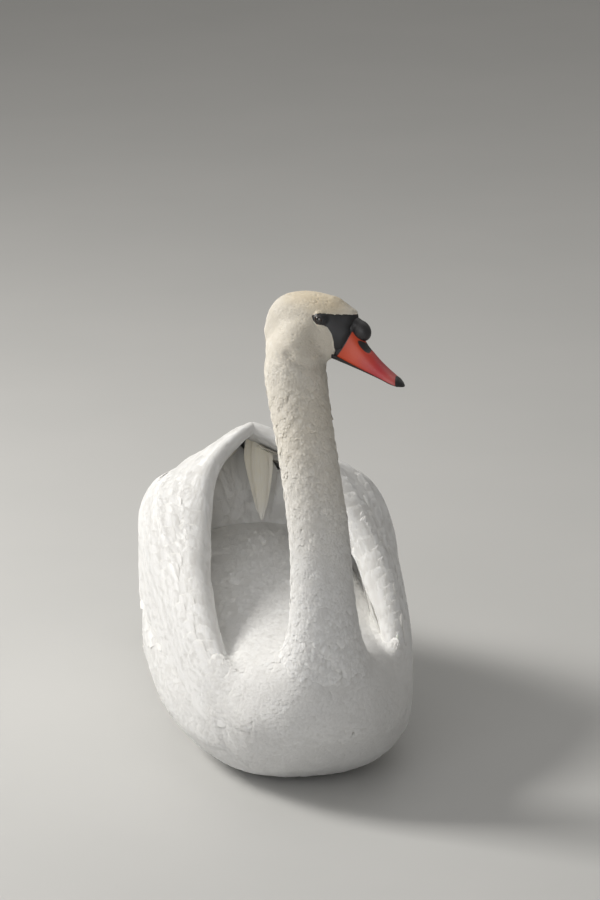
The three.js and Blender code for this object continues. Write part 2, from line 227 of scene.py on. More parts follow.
class Finish:  # a material with one Principled shader
    def __init__(self, name, **fixed):
        self.material = bpy.data.materials.new(name)
        self.material.use_nodes = True
        self.tree = self.material.node_tree
        self.tree.nodes.clear()
        surface = self.add("ShaderNodeBsdfPrincipled", {})
        self.shader = surface.socket.node
        self.add("ShaderNodeOutputMaterial", {}, surface)
        for socket, value in fixed.items():
            self.feed(self.shader.inputs[socket.replace("_", " ")], value)

    def feed(self, socket, value):
        if isinstance(value, Wire):
            self.tree.links.new(value.socket, socket)
        elif hasattr(socket.default_value, "__len__") and len(socket.default_value) == 4:
            socket.default_value = (*value, 1.0) if len(value) == 3 else value
        else:
            socket.default_value = value

    def add(self, kind, settings, *values, out=0, sockets=None, **named):
        node = self.tree.nodes.new(kind)
        for key, value in settings.items():
            setattr(node, key, value)
        for i, value in (*enumerate(values), *(sockets or {}).items()):
            self.feed(node.inputs[i], value)
        for key, value in named.items():
            self.feed(node.inputs[key.replace("_", " ")], value)
        return Wire(self, node.outputs[out] if node.outputs else None)

    def place(self):  # Object coordinates
        return self.add("ShaderNodeTexCoord", {}, out=3)

    def placeIn(self, matrix):  # Object coordinates in another frame, in millimetres
        inverse = matrix.inverted()
        turned = self.add(
            "ShaderNodeMapping", {}, self.place(), tuple(inverse.to_translation() * 1000),
            tuple(inverse.to_euler()), (1000.0, 1000.0, 1000.0),
        )
        return self.split(turned)

    def split(self, vector):
        node = self.add("ShaderNodeSeparateXYZ", {}, vector).socket.node
        return [Wire(self, socket) for socket in node.outputs]

    def noise(self, vector, scale, detail=3.0, **more):
        return self.add("ShaderNodeTexNoise", {}, Vector=vector, Scale=scale, Detail=detail, **more)

    def attribute(self, name):
        return self.add("ShaderNodeAttribute", {"attribute_name": name}, out=2)

    def vane(self):  # across and along a feather, each 0 to 1
        return self.split(self.add("ShaderNodeUVMap", {"uv_map": "vane"}))

    def blend(self, share, a, b):
        return self.add("ShaderNodeMix", {"data_type": "RGBA"}, share, out=2, sockets={6: a, 7: b})

    def bump(self, height, strength, distance):
        return self.add("ShaderNodeBump", {}, Strength=strength, Distance=distance, Height=height)

    def set(self, **sockets):
        for socket, value in sockets.items():
            self.feed(self.shader.inputs[socket.replace("_", " ")], value)
        return self.material


# Camera, floor and light

view = {
    "target": (-0.01224, -0.2211, 0.42295),
    "azimuth": -13.5,  # degrees to the bird's right of its front
    "elevation": 16.5,
    "distance": 6.0,
    "lens": 199.2,
    "sensor": 36,
}


def makeCamera():
    camera = placed("camera", bpy.data.cameras.new("camera"))
    camera.data.lens = view["lens"]
    camera.data.sensor_width = view["sensor"]
    camera.data.clip_end = 100
    turn = Euler((math.radians(90 - view["elevation"]), 0, math.radians(view["azimuth"])))
    camera.rotation_euler = turn
    camera.location = Vector(view["target"]) + turn.to_matrix() @ Vector((0, 0, view["distance"]))
    bpy.context.scene.camera = camera


lights = {
    "key": {"at": (-2.3, 1.0, 2.2), "size": 1.2, "watts": 114, "colour": (1, 0.97, 0.92)},
    "fill": {"at": (-1.8, -3.2, 1.3), "size": 2.4, "watts": 30, "colour": (0.98, 0.98, 1)},
    "sky": {"at": (0.8, 0.6, 3.4), "size": 3.0, "watts": 17, "colour": (1, 0.99, 0.97)},
}
studio = {"aim": (0, -0.05, 0.3), "colour": (1, 0.97, 0.92), "strength": 0.29}


def makeLights():
    for name, light in lights.items():
        lamp = bpy.data.lights.new(name, "AREA")
        lamp.size, lamp.energy, lamp.color = light["size"], light["watts"], light["colour"]
        lampObject = placed(name, lamp)
        lampObject.location = light["at"]
        aim = Vector(studio["aim"]) - Vector(light["at"])
        lampObject.rotation_euler = aim.to_track_quat("-Z", "Y").to_euler()
    world = bpy.data.worlds.new("studio")
    world.use_nodes = True
    world.node_tree.nodes["Background"].inputs[0].default_value = (*studio["colour"], 1)
    world.node_tree.nodes["Background"].inputs[1].default_value = studio["strength"]
    bpy.context.scene.world = world


ground = {
    "reach": 9,
    "grain": 3.0,
    "rough": 0.75,
    "darker": (0.48, 0.485, 0.48),
    "paler": (0.52, 0.52, 0.515),
}


def makeFloor():
    made = bmesh.new()
    bmesh.ops.create_grid(made, x_segments=1, y_segments=1, size=ground["reach"])
    mesh = meshFrom(made, "floor")
    finish = Finish("paleFloor", Roughness=ground["rough"])
    grain = finish.noise(finish.place(), ground["grain"])
    colour = finish.blend(grain, ground["darker"], ground["paler"])
    mesh.materials.append(finish.set(Base_Color=colour))
    floor = placed("floor", mesh)


makeCamera()
makeLights()
makeFloor()
bpy.context.scene.view_settings.view_transform = "Standard"
print("camera, floor and lights set")

# The head's own frame: x along the bill, y to the bird's left, z to the crown, from between the eyes

head = {
    "at": (19, -232.5, 589.5),
    "tilt": -8,
    "drop": 11,
    "turn": -39.8,
    "eyeSide": 22.5,
    "eyeRadius": 6.5,
}
headTurn = Euler([math.radians(head[k]) for k in ("tilt", "drop", "turn")], "XYZ")
headMatrix = Matrix.Translation(Vector(head["at"]) * mm) @ headTurn.to_matrix().to_4x4()
headAxes = np.array(headTurn.to_matrix())


def inHead(points):  # millimetres in the head's frame
    return (points - np.array(head["at"]) * mm) @ headAxes / mm


def fromHead(points):
    return np.asarray(points, float) * mm @ headAxes.T + np.array(head["at"]) * mm


# The bare black skin from the eye to the bill, seen from the side, in the head's frame.
bareOutline = [
    (-9.6, 1.6), (-5.4, 4.8), (0, 7.2), (9, 8.4), (19, 10.6), (27, 12.8), (36, 14.6), (60, 18), (60, -70),
    (34.5, -48), (30.4, -41), (27.8, -35), (25.2, -28), (23.4, -20.4), (19.2, -12.2), (12.8, -6), (6.6, -5),
    (-1.4, -5.8), (-6.2, -2.8),
]


def bareness(points):  # millimetres outside the bare skin, negative on it
    local = inHead(points)
    near = (local[:, 0] > -25) & (np.abs(local[:, 1]) < 45) & (np.abs(local[:, 2]) < 75)
    distance = np.full(len(points), 20.0)
    distance[near] = outlineDistance(local[near][:, [0, 2]], bareOutline)
    return np.minimum(distance, 20)


# The neck's line

neckLine = np.array([
    (1, -262, 108), (0, -290, 152), (-2.5, -305, 208), (-4.5, -302, 278), (-6, -294, 336), (-11, -282, 392),
    (-15.5, -264.5, 446), (-20, -245.5, 496), (-21, -231, 540), (-11, -224, 582),
]) * mm


def nearNeck(points):  # distance from the neck's line, and the way it rises there
    a, b = neckLine[:-1], neckLine[1:]
    edge, to = b - a, points[:, None, :] - a
    share = np.clip((to * edge).sum(-1) / (edge * edge).sum(-1), 0, 1)
    away = np.linalg.norm(to - share[..., None] * edge, axis=-1)
    best = away.argmin(1)
    rows = np.arange(len(points))
    ways = unit(np.gradient(neckLine, axis=0))
    rise = mix(ways[best], ways[best + 1], share[rows, best][:, None])
    return away[rows, best], unit(rise)


# The sheet of a raised wing: an upright side, a curl over its top and a slope in to the middle

wing = {
    "breast": -360,  # station 0, in millimetres
    "waterline": 85,
    "hinge": (68, 28),  # station and girth of the shoulder
    "ridge": 24,
    "lap": 0.88,  # how closely a feather that crosses the middle lies on the other wing
    "curl": math.radians(60),
    "swell": 3.4,
    "tracts": (  # angle of the fan, share of the swelling
        (22, 0), (24.5, 0.5), (27.9, 1), (30.2, 0), (31.6, 0.9), (33, 0.08), (34.5, 0.5), (35.6, 0),
        (36.6, 0.8), (37.7, 0.05), (40.8, 1), (50, 0.6),
    ),
}
wingAt = through([  # station: half width, height of the side, radius of the curl
    (44, 94, 6, 40), (74, 108, 12, 48), (100, 116, 22, 55), (130, 127, 36, 62), (160, 137, 50, 68),
    (200, 145, 72, 76), (250, 152, 94, 82), (300, 157, 114, 84), (350, 162, 140, 80), (400, 159, 164, 69),
    (450, 149, 163, 66), (500, 137, 150, 66), (550, 124, 132, 64), (600, 108, 112, 61), (650, 89, 92, 54),
    (700, 67, 70, 43), (750, 46, 48, 34),
])
lobeAt = through([  # station: lowest girth, highest girth, greatest thickness
    (46, 14, 34, 10), (62, 10, 50, 26), (90, 10, 70, 40), (130, 14, 90, 48), (180, 24, 114, 50),
    (240, 42, 144, 48), (310, 66, 200, 42), (370, 84, 246, 32), (430, 98, 252, 20), (490, 110, 226, 11),
    (540, 120, 186, 6), (575, 130, 160, 3),
])
fanReach = through([(3, 672), (8, 655), (12, 648), (20, 620), (28, 590), (36, 560), (44, 530)])


def swell(side, station, girth):  # millimetres by which each tract of feathers stands proud of the sheet
    ahead, up = station - wing["hinge"][0], girth - wing["hinge"][1]
    angle = np.degrees(np.arctan2(up, np.maximum(ahead, 1)))
    tracts = np.interp(angle - 0.4 * side, *np.array(wing["tracts"], float).T)
    height = wing["swell"] * ease(0, 1, tracts) * ease(170, 330, np.hypot(ahead, up))
    return height * ease(640, 560, station)


def onWing(side, station, girth, offset=0.0):  # millimetres in, metres out
    station, girth, offset = np.broadcast_arrays(station, girth, offset)
    offset = offset + swell(side, station, girth)
    halfWidth, upright, radius = np.moveaxis(wingAt(station), -1, 0)
    turn = np.clip((girth - upright) / radius, 0, wing["curl"])
    slope = np.maximum(0, girth - upright - radius * wing["curl"])
    across = halfWidth - radius * (1 - np.cos(turn)) - slope * math.sin(wing["curl"])
    level = np.maximum(0, wing["ridge"] - across) ** 2 / (4 * wing["ridge"]) / math.tan(wing["curl"])
    # Past the middle it follows the other wing.
    level = level + wing["lap"] * np.maximum(0, -across) / math.tan(wing["curl"])
    height = np.minimum(girth, upright) + radius * np.sin(turn) + slope * math.cos(wing["curl"]) - level
    return np.stack([
        side * (across + offset * np.cos(turn)),
        wing["breast"] + station,
        wing["waterline"] + height + offset * np.sin(turn),
    ], -1) * mm


def fanPlace(angle, distance):  # station and girth; the feathers bend upwards
    turn = np.radians(angle * (0.78 + 0.22 * (distance / 500) ** 2))
    return wing["hinge"][0] + np.cos(turn) * distance, wing["hinge"][1] + np.sin(turn) * distance


def withinFan(station, girth):  # the vanes stop at the rim that the scapulars roll over
    ahead, up = station - wing["hinge"][0], girth - wing["hinge"][1]
    away, turn = np.hypot(ahead, up), np.arctan2(up, ahead)
    most = np.interp(away, (0, 440, 480), (39.6, 39.6, 41.5)) * (0.78 + 0.22 * (away / 500) ** 2)
    turn = np.minimum(turn, np.radians(most))
    return wing["hinge"][0] + away * np.cos(turn), wing["hinge"][1] + away * np.sin(turn)


def sheetPlace(points):  # station and girth of the place on the sheet that is nearest
    station = points[:, 1] / mm - wing["breast"]
    girths = np.linspace(-30, 330, 91)
    sheet = onWing(1, station[:, None], girths[None, :])
    away = (sheet[..., 0] - np.abs(points[:, None, 0])) ** 2 + (sheet[..., 2] - points[:, None, 2]) ** 2
    return station, girths[away.argmin(1)]


def fanWay(station, girth):  # the way that feathers point on the sheet, as (station, girth)
    ahead, up = station - wing["hinge"][0], girth - wing["hinge"][1]
    angle = np.arctan2(up, np.maximum(ahead, 12))
    angle = np.clip(angle, -0.2, 0.95) * ease(0, 130, np.hypot(ahead, up))
    return np.cos(angle), np.sin(angle)


# The lie of the coat


def lie(points, normals, onWings):
    away, rise = nearNeck(points)
    station = points[:, 1] - wing["breast"] * mm
    back = ease(0.02, 0.2, station)[:, None]
    way = mix(np.array([0, 0.25, -1.0]), np.array([0, 1, -0.18]), back)
    way = way + 0.55 * (points[:, :1] * np.array([1, 0, 0])) * ease(0.25, 0.05, station)[:, None] / 0.1
    onNeck = ease(0.10, 0.06, away) * ease(0.13, 0.24, points[:, 2])
    way = mix(way, -rise, onNeck[:, None])
    local = inHead(points)
    onHead = ease(-64, -30, local[:, 0]) * ease(0.52, 0.55, points[:, 2]) * ease(70, 60, local[:, 0])
    way = mix(way, headAxes @ np.array([-1, 0, -0.3]), onHead[:, None])
    if onWings.any():
        side = np.sign(points[onWings, 0])
        station, girth = sheetPlace(points[onWings])
        across, up = fanWay(station, girth)
        step = onWing(side, station + across, girth + up) - onWing(side, station, girth)
        way[onWings] = unit(step)
    return unit(way - (way * normals).sum(-1, keepdims=True) * normals)


# Skin: one closed surface under the coat, in place of the nodes of flesh

skin = {
    "nodes": ["trunk", "neck_lower", "neck_upper", "head", "wing_left", "wing_right"],
    "voxel": 3.5 * mm,
    "bodyDepth": 3.6 * mm,
    "neckDepth": 2.2 * mm,
    "headDepth": 1.1 * mm,
    "nape": (-61, 0, -52),  # in the head's frame, where the hollow between head and neck is filled
    "napeFill": 5.0 * mm,
    "swells": [  # places in the head's frame, radius and height: forehead, back of the head, cheek
        (((31, 0, 11), (38, 0, 9)), 9, 4.0),
        (((8, 0, 25), (20, 0, 20), (29, 0, 15)), 13, 4.6),
        (((-75, 0, -18),), 14, -2.0),
        (((-18, -47, -35), (-6, -47, -41), (6, -41, -44), (15, -24, -43)), 7, 2.0),
        (((-18, 47, -35), (-6, 47, -41), (6, 41, -44), (15, 24, -43)), 7, 2.0),
    ],
    "throat": (  # the crease where the jaw overhangs the neck
        (-18, -50, -48), (-6, -50, -53), (5.5, -44.5, -55.5), (14.5, -28, -55.5), (20, -12, -54),
        (22, 0, -53), (20, 12, -54), (14.5, 28, -55.5),
    ),
    "crease": (5.0, -5.6),
    "rounds": {"all": 7, "body": 22, "front": 70, "nape": 60},  # smoothing
}


def coatDepth(points):
    away, _ = nearNeck(points)
    onNeck = ease(0.09, 0.055, away) * ease(0.16, 0.28, points[:, 2])
    depth = mix(skin["bodyDepth"], skin["neckDepth"], onNeck)
    depth = mix(depth, skin["headDepth"], ease(0.515, 0.55, points[:, 2]))
    return mix(0.0002, depth, ease(-0.5, 3, bareness(points)))


def wingThickness(points):  # thickness of the fleshy part of a wing, in metres; large where there is none
    station, girth = sheetPlace(points)
    low, high, thick = np.moveaxis(lobeAt(station), -1, 0)
    share = np.clip((girth - low) / (high - low), 0.02, 0.98)
    depth = 3 + thick * np.sqrt(1 - share**3) * (1 - (1 - share) ** 3)
    apart = np.linalg.norm(points - onWing(np.sign(points[:, 0]), station, girth), axis=-1)
    near = apart < (depth + 3 + wing["swell"]) * mm
    return np.where(near & (station > 120), depth, 100) * mm


def fullNape(places, share):  # outwards from the neck's line
    ends = np.linalg.norm(places[:, None] - neckLine[-3:], axis=-1).argmin(1)
    out = unit((places - neckLine[-3:][ends]) * np.array([1, 1, 0.2]))
    return out * share[:, None] * skin["napeFill"]


def nearLine(points, line):  # distance from a line through places
    line = np.array(line, float)
    if len(line) == 1:
        return np.linalg.norm(points - line[0], axis=-1)
    best = np.full(len(points), 1e9)
    for a, b in zip(line, line[1:]):
        share = np.clip(((points - a) @ (b - a)) / ((b - a) @ (b - a)), 0, 1)
        best = np.minimum(best, np.linalg.norm(points - a - share[:, None] * (b - a), axis=-1))
    return best


def headRelief(places, normals):  # forehead, cheeks and the crease of the throat
    local = inHead(places)
    near = np.linalg.norm(local, axis=-1) < 110
    rise = np.zeros(len(places))
    for line, radius, height in skin["swells"]:
        rise[near] += height * np.exp(-((nearLine(local[near], line) / radius) ** 2))
    radius, height = skin["crease"]
    rise[near] += height * np.exp(-((nearLine(local[near], skin["throat"]) / radius) ** 2))
    return places + normals * (rise * mm)[:, None]


eyeHole = {  # millimetres in the head's frame
    "squash": 0.9,
    "inside": 4.4,  # radius of the opening, where the skin lies behind the eyeball
    "over": 0.3,  # how far the skin stands on the ball
    "reach": (11, 6.2),
    "rim": 3.4,
}


def roundEyes(places):  # the skin swells over the edge of each eyeball and dips behind its front
    local = inHead(places)
    side, inside = np.abs(local[:, 1]), eyeHole["inside"]
    around = np.hypot(local[:, 0] * eyeHole["squash"], local[:, 2])
    near = (around < 12) & (side > 12) & (side < 45)
    radius = head["eyeRadius"] + eyeHole["over"]
    ball = head["eyeSide"] + np.sqrt(np.maximum(0, radius**2 - around**2))
    out = np.maximum(side, np.where(around < head["eyeRadius"], ball, 0))
    out = np.where(around < inside, head["eyeSide"] + 1, out)
    share = ease(*eyeHole["reach"], around)
    rim = head["eyeSide"] + eyeHole["rim"] * share
    lifted = np.minimum(rim, side + 3 * share)
    out = np.where(around >= inside, np.maximum(out, lifted), out)
    local[near, 1] = (np.sign(local[:, 1]) * out)[near]
    places = places.copy()
    places[near] = fromHead(local[near])
    return places


def makeSkinMesh():
    mesh = remeshed("skin", skin["nodes"], skin["voxel"], grow=0.3 * mm)
    rounds, edges = skin["rounds"], edgesOf(mesh)
    places = relaxed(placesOf(mesh), edges, rounds["all"])
    smooth = relaxed(places, edges, rounds["body"])
    front = ease(-0.21, -0.26, places[:, 1]) * ease(0.17, 0.13, places[:, 2])
    smooth = mix(smooth, relaxed(smooth, edges, rounds["front"]), front[:, None])
    places = mix(smooth, places, ease(0.42, 0.52, places[:, 2])[:, None])
    local = inHead(places)
    away = np.linalg.norm(local - np.array(skin["nape"]), axis=-1)
    nape = ease(40, 16, away) * ease(-22, -40, local[:, 0])
    full = relaxed(places, edges, rounds["nape"]) + fullNape(places, nape)
    setPlaces(mesh, mix(places, full, nape[:, None]))
    setPlaces(mesh, headRelief(placesOf(mesh), normalsOf(mesh)))
    made = bmesh.new()
    made.from_mesh(mesh)
    made.verts.ensure_lookup_table()
    face = bareness(np.array([vert.co for vert in made.verts])) < 7
    fine = [edge for edge in made.edges if face[edge.verts[0].index] and face[edge.verts[1].index]]
    bmesh.ops.subdivide_edges(made, edges=fine, cuts=1, use_grid_fill=True)
    made.to_mesh(mesh)
    made.free()
    places = relaxed(placesOf(mesh), edgesOf(mesh), 2)
    setPlaces(mesh, places)
    depth = np.minimum(coatDepth(places), wingThickness(places) * 0.3)
    places = relaxed(places - normalsOf(mesh) * depth[:, None], edgesOf(mesh), 2)
    places[:, 2] = np.maximum(places[:, 2], 0.2 * mm)
    setPlaces(mesh, roundEyes(places))
    return smoothShaded(mesh)


skinMesh = makeSkinMesh()
skinPlaces = placesOf(skinMesh)
bare = bareness(skinPlaces)
skinMesh.attributes.new("bare", "FLOAT", "POINT").data.foreach_set("value", bare.astype(np.float32))


def treeOf(nodes):  # the faces of some CAD nodes, and the name of each face's node
    corners, faces, names = [], [], []
    for name in nodes:
        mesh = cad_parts[name].data
        faces += [tuple(i + len(corners) for i in face.vertices) for face in mesh.polygons]
        names += [name] * len(mesh.polygons)
        corners += [vert.co.copy() for vert in mesh.vertices]
    return BVHTree.FromPolygons(corners, faces), names


def nodeOfPlaces(points):  # the name of the CAD node that is nearest to each place
    tree, names = treeOf(skin["nodes"])
    return np.array([names[tree.find_nearest(Vector(p))[2]] for p in points])


def unwrapSkin():
    carrier = placed("carrier", skinMesh)
    bpy.context.view_layer.objects.active = carrier
    carrier.select_set(True)
    skinMesh.uv_layers.active = skinMesh.uv_layers.new(name="OFBake")
    bpy.ops.object.mode_set(mode="EDIT")
    bpy.ops.mesh.select_all(action="SELECT")
    bpy.ops.uv.smart_project(angle_limit=1.15, island_margin=0.004, scale_to_bounds=True)
    bpy.ops.object.mode_set(mode="OBJECT")
    bpy.data.objects.remove(carrier)


unwrapSkin()
skinMesh.calc_loop_triangles()
triCorners = readOut(skinMesh.loop_triangles, "vertices", 3, np.int32)
triLoops = readOut(skinMesh.loop_triangles, "loops", 3, np.int32)
loopUv = readOut(skinMesh.uv_layers["OFBake"].data, "uv", 2)
skinNormals = normalsOf(skinMesh)
skinTree = BVHTree.FromPolygons(skinPlaces.tolist(), triCorners.tolist())
skinNode = nodeOfPlaces(skinPlaces)
triNode = skinNode[triCorners[:, 0]]
triMiddles = skinPlaces[triCorners].mean(1)
sides = skinPlaces[triCorners]
triAreas = np.linalg.norm(np.cross(sides[:, 1] - sides[:, 0], sides[:, 2] - sides[:, 0]), axis=1) / 2
print("skin made:", len(skinMesh.vertices), "vertices")


def onSkin(points):  # nearest places on the skin, with smooth normals and the unwrap's coordinates
    found = [skinTree.find_nearest(Vector(p)) for p in points]
    places = np.array([hit[0] for hit in found])
    index = np.array([hit[2] for hit in found])
    a, b, c = (skinPlaces[triCorners[index, i]] for i in range(3))
    whole = np.cross(b - a, c - a)
    size = np.maximum((whole * whole).sum(-1), 1e-30)
    shareB = (np.cross(places - a, c - a) * whole).sum(-1) / size
    shareC = (np.cross(b - a, places - a) * whole).sum(-1) / size
    shares = np.clip(np.stack([1 - shareB - shareC, shareB, shareC], -1), 0, 1)[..., None]
    normals = unit((skinNormals[triCorners[index]] * shares).sum(1))
    uv = (loopUv[triLoops[index]] * shares).sum(1)
    return places, normals, uv, triNode[index]


def scatter(chosen, spacingAt, rounds=2):  # roots spread evenly over the chosen triangles
    spacing = spacingAt(triMiddles[chosen])
    density = triAreas[chosen] / (0.87 * spacing**2)
    count = int(density.sum())
    picks = chosen[chance.choice(len(chosen), count, p=density / density.sum())]
    u, v = chance.random((2, count, 1))
    over = u + v > 1
    u, v = np.where(over, 1 - u, u), np.where(over, 1 - v, v)
    a, b, c = (skinPlaces[triCorners[picks, i]] for i in range(3))
    points = a + u * (b - a) + v * (c - a)
    for _ in range(rounds):
        tree = KDTree(count)
        for i, point in enumerate(points):
            tree.insert(point, i)
        tree.balance()
        near = np.array([[item[1] for item in tree.find_n(point, 7)] for point in points])
        gap = points[:, None, :] - points[near[:, 1:]]
        length = np.maximum(np.linalg.norm(gap, axis=-1, keepdims=True), 1e-6)
        reach = spacingAt(points)[:, None, None]
        points = points + (gap / length * np.maximum(0, reach - length)).sum(1) * 0.3
        points = onSkin(points)[0]
    return points


# Vanes: many small closed feathers in one mesh

# A section lists places round a feather's cross section: share of the half width, share of the thickness.
tuftSection = [(-1, 0), (0, 1), (1, 0), (0, -0.5)]
vaneSection = [
    (-1, 0), (-0.8, 0.5), (-0.4, 0.75), (0, 0.95), (0.4, 0.75), (0.8, 0.5), (1, 0), (0.5, -0.35), (0, -0.6),
    (-0.5, -0.35),
]
# An outline lists places from root to tip: share of the length, of the width and of the thickness.
tuftOutline = [(0, 0, 0), (0.3, 0.8, 0.8), (0.65, 1, 1), (0.9, 0.62, 0.7), (1, 0, 0)]
coatOutline = [(0, 0, 0), (0.25, 0.7, 1), (0.6, 1, 1), (0.88, 0.72, 0.7), (1, 0, 0)]
covertOutline = [
    (0, 0, 0), (0.12, 0.4, 1), (0.35, 0.82, 1), (0.58, 0.98, 1), (0.75, 1, 0.9), (0.87, 0.86, 0.8),
    (0.95, 0.56, 0.6), (1, 0, 0),
]
longOutline = [
    (0, 0, 0), (0.02, 0.3, 1.2), (0.08, 0.5, 1.2), (0.16, 0.7, 1.1), (0.25, 0.85, 1.1), (0.35, 0.95, 1),
    (0.45, 1, 1), (0.55, 1, 1), (0.65, 1, 1), (0.75, 0.99, 0.9), (0.84, 0.98, 0.9), (0.9, 0.95, 0.8),
    (0.935, 0.88, 0.7), (0.96, 0.77, 0.6), (0.98, 0.6, 0.5), (0.992, 0.38, 0.4), (1, 0, 0),
]
pointedOutline = [
    (along, width * (1 - 0.8 * max(0, along - 0.25) / 0.75), thick) for along, width, thick in longOutline
]


def flatVanes(centre, across, up, halfWidth, thickness, camber, section, outline):
    width, thick = np.array(outline, float).T[1:, 1:-1]
    b, h = np.array(section, float).T
    half = halfWidth[:, None, None] * width[None, :, None] * b
    rise = thickness[:, None, None] * thick[None, :, None] * h - camber * np.abs(half) * np.abs(b)
    body = centre[:, 1:-1, None] + across[:, 1:-1, None] * half[..., None]
    body = body + up[:, 1:-1, None] * rise[..., None]
    return np.concatenate([centre[:, :1], body.reshape(len(centre), -1, 3), centre[:, -1:]], 1)


def drapedVanes(surface, path, half, thickness, depth, camber, tilt, section, outline):
    # path holds places along each feather in the surface's two coordinates; all in millimetres
    width, thick = np.array(outline, float).T[1:, 1:-1]
    b, h = np.array(section, float).T
    ways = unit(np.gradient(path, axis=1))
    sides = np.stack([ways[..., 1], -ways[..., 0]], -1)
    out = half[:, None, None] * width[None, :, None] * b
    spots = path[:, 1:-1, None] + sides[:, 1:-1, None] * out[..., None]
    offset = thickness * thick[None, :, None] * h - camber * np.abs(out) * np.abs(b) + tilt * out
    body = surface(spots[..., 0], spots[..., 1], offset - depth[:, 1:-1, None])
    ends = surface(path[:, [0, -1], 0], path[:, [0, -1], 1], -depth[:, [0, -1]])
    return np.concatenate([ends[:, :1], body.reshape(len(path), -1, 3), ends[:, 1:]], 1)


def vaneMesh(name, places, rootUv, tone, section, outline, patch=0.003, flip=False):
    count, rings, corners = len(places), len(outline) - 2, len(section)
    places[..., 2] = np.maximum(places[..., 2], 0.4 * mm)
    perVane = rings * corners + 2
    faces = []
    for k in range(corners):
        after = (k + 1) % corners
        faces.append((0, 1 + after, 1 + k))
        for j in range(rings - 1):
            low, high = 1 + j * corners, 1 + (j + 1) * corners
            faces.append((low + k, low + after, high + after, high + k))
        last = 1 + (rings - 1) * corners
        faces.append((perVane - 1, last + k, last + after))
    if flip:
        faces = [face[::-1] for face in faces]
    loops = np.array([corner for face in faces for corner in face])
    sizes = np.array([len(face) for face in faces])
    mesh = bpy.data.meshes.new(name)
    mesh.vertices.add(count * perVane)
    mesh.vertices.foreach_set("co", places.astype(np.float32).ravel())
    allLoops = (loops[None, :] + perVane * np.arange(count)[:, None]).ravel()
    mesh.loops.add(len(allLoops))
    mesh.loops.foreach_set("vertex_index", allLoops.astype(np.int32))
    mesh.polygons.add(count * len(faces))
    starts = np.concatenate([[0], np.cumsum(np.tile(sizes, count))[:-1]])
    mesh.polygons.foreach_set("loop_start", starts.astype(np.int32))
    mesh.update(calc_edges=True)
    along, b = np.array(outline, float)[:, 0], np.array(section, float)[:, 0]
    u = np.concatenate([[0.5], np.tile((b + 1) / 2, rings), [0.5]])
    v = np.concatenate([[0], np.repeat(along[1:-1], corners), [1]])
    spot = np.stack([u, v], -1)[loops]
    bakeUv = rootUv[:, None, :] + (spot - 0.5)[None] * patch
    mesh.uv_layers.new(name="OFBake").data.foreach_set("uv", bakeUv.astype(np.float32).ravel())
    vaneUv = np.tile(spot, (count, 1))
    mesh.uv_layers.new(name="vane").data.foreach_set("uv", vaneUv.astype(np.float32).ravel())
    tones = mesh.attributes.new("tone", "FLOAT", "POINT")
    tones.data.foreach_set("value", np.repeat(tone, perVane).astype(np.float32))
    ends = edgesOf(mesh) % perVane
    right = [i for i, (share, _) in enumerate(section) if share == 1][0]
    corner = (ends - 1) % corners
    onRim = (ends == 0) | (ends == perVane - 1) | (corner == 0) | (corner == right)
    mesh.attributes.new("sharp_edge", "BOOLEAN", "EDGE").data.foreach_set("value", onRim.all(1))
    print(name, count, "feathers,", count * (sizes - 2).sum(), "triangles")
    return smoothShaded(mesh)


def growCoat(name, roots, style):
    points, normals, uv, nodes = onSkin(roots)
    onWings = np.char.startswith(nodes, "wing")
    count = len(points)
    length = style["length"](points) * chance.uniform(0.85, 1.15, count)
    turn = np.radians(style["stray"]) * chance.normal(size=count)
    turn = turn + np.radians(style.get("sway", 0)) * ripple(points, 30 * mm, 5)
    along = np.array(style["outline"], float)[:, 0]
    centre, ways, ups = [points], [], [normals]
    place, normal = points, normals
    for gap in np.diff(along):
        way = lie(place, normal, onWings)
        way = unit(way + np.cross(normal, way) * np.tan(turn)[:, None])
        ways.append(way)
        ahead = place + way * (length * gap)[:, None]
        near, facing, _, _ = onSkin(ahead)
        isNear = np.linalg.norm(near - ahead, axis=-1) < 0.6 * length * gap
        holds = ((facing * normal).sum(-1) > 0.55) & isNear
        place = np.where(holds[:, None], near, ahead)
        normal = np.where(holds[:, None], facing, normal)
        centre.append(place)
        ups.append(normal)
    ways.append(ways[-1])
    centre, ways, ups = (np.stack(list(item), 1) for item in (centre, ways, ups))
    lumps = 1 + style.get("lumps", 0) * ripple(points, style.get("lumpSize", 10) * mm, 8)
    lift = coatDepth(points) * style["lift"] * lumps * chance.uniform(0.94, 1.04, count)
    profile = 0.1 + 0.9 * along ** style.get("rise", 0.5)
    centre = centre + ups * (lift[:, None] * profile)[..., None]
    across = unit(np.cross(ways, ups))
    tilt = np.radians(style.get("roll", 5)) * chance.normal(size=(count, 1, 1))
    across, ups = unit(across + ups * np.tan(tilt)), unit(ups - across * np.tan(tilt))
    places = flatVanes(
        centre, across, ups, length * style["width"] / 2, length * style["thick"], style["camber"],
        style["section"], style["outline"],
    )
    return vaneMesh(name, places, uv, chance.uniform(0, 1, count), style["section"], style["outline"])


# Finishes

colours = {
    "white": (0.87, 0.865, 0.845),
    # painted shade: the greyer white that feathers take towards their roots, also used for their random
    # darker tone
    "shade": (0.78, 0.765, 0.73),
    "cream": (0.83, 0.75, 0.60),
    "crown": (0.80, 0.66, 0.43),
    "hollowYellow": (0.78, 0.66, 0.36),
    "bareBlack": (0.012, 0.012, 0.014),
    "orange": (0.60, 0.06, 0.014),
    "crimson": (0.42, 0.028, 0.035),
    "shaft": (0.74, 0.69, 0.58),
    "pink": (0.55, 0.15, 0.13),
    "grey": (0.028, 0.026, 0.028),
    "iris": (0.035, 0.014, 0.006),
    "irisDark": (0.012, 0.005, 0.003),
    "pupil": (0.002, 0.002, 0.002),
    "eyeRim": (0.006, 0.005, 0.005),
    "foot": (0.03, 0.03, 0.033),
    "footPale": (0.055, 0.053, 0.055),
}


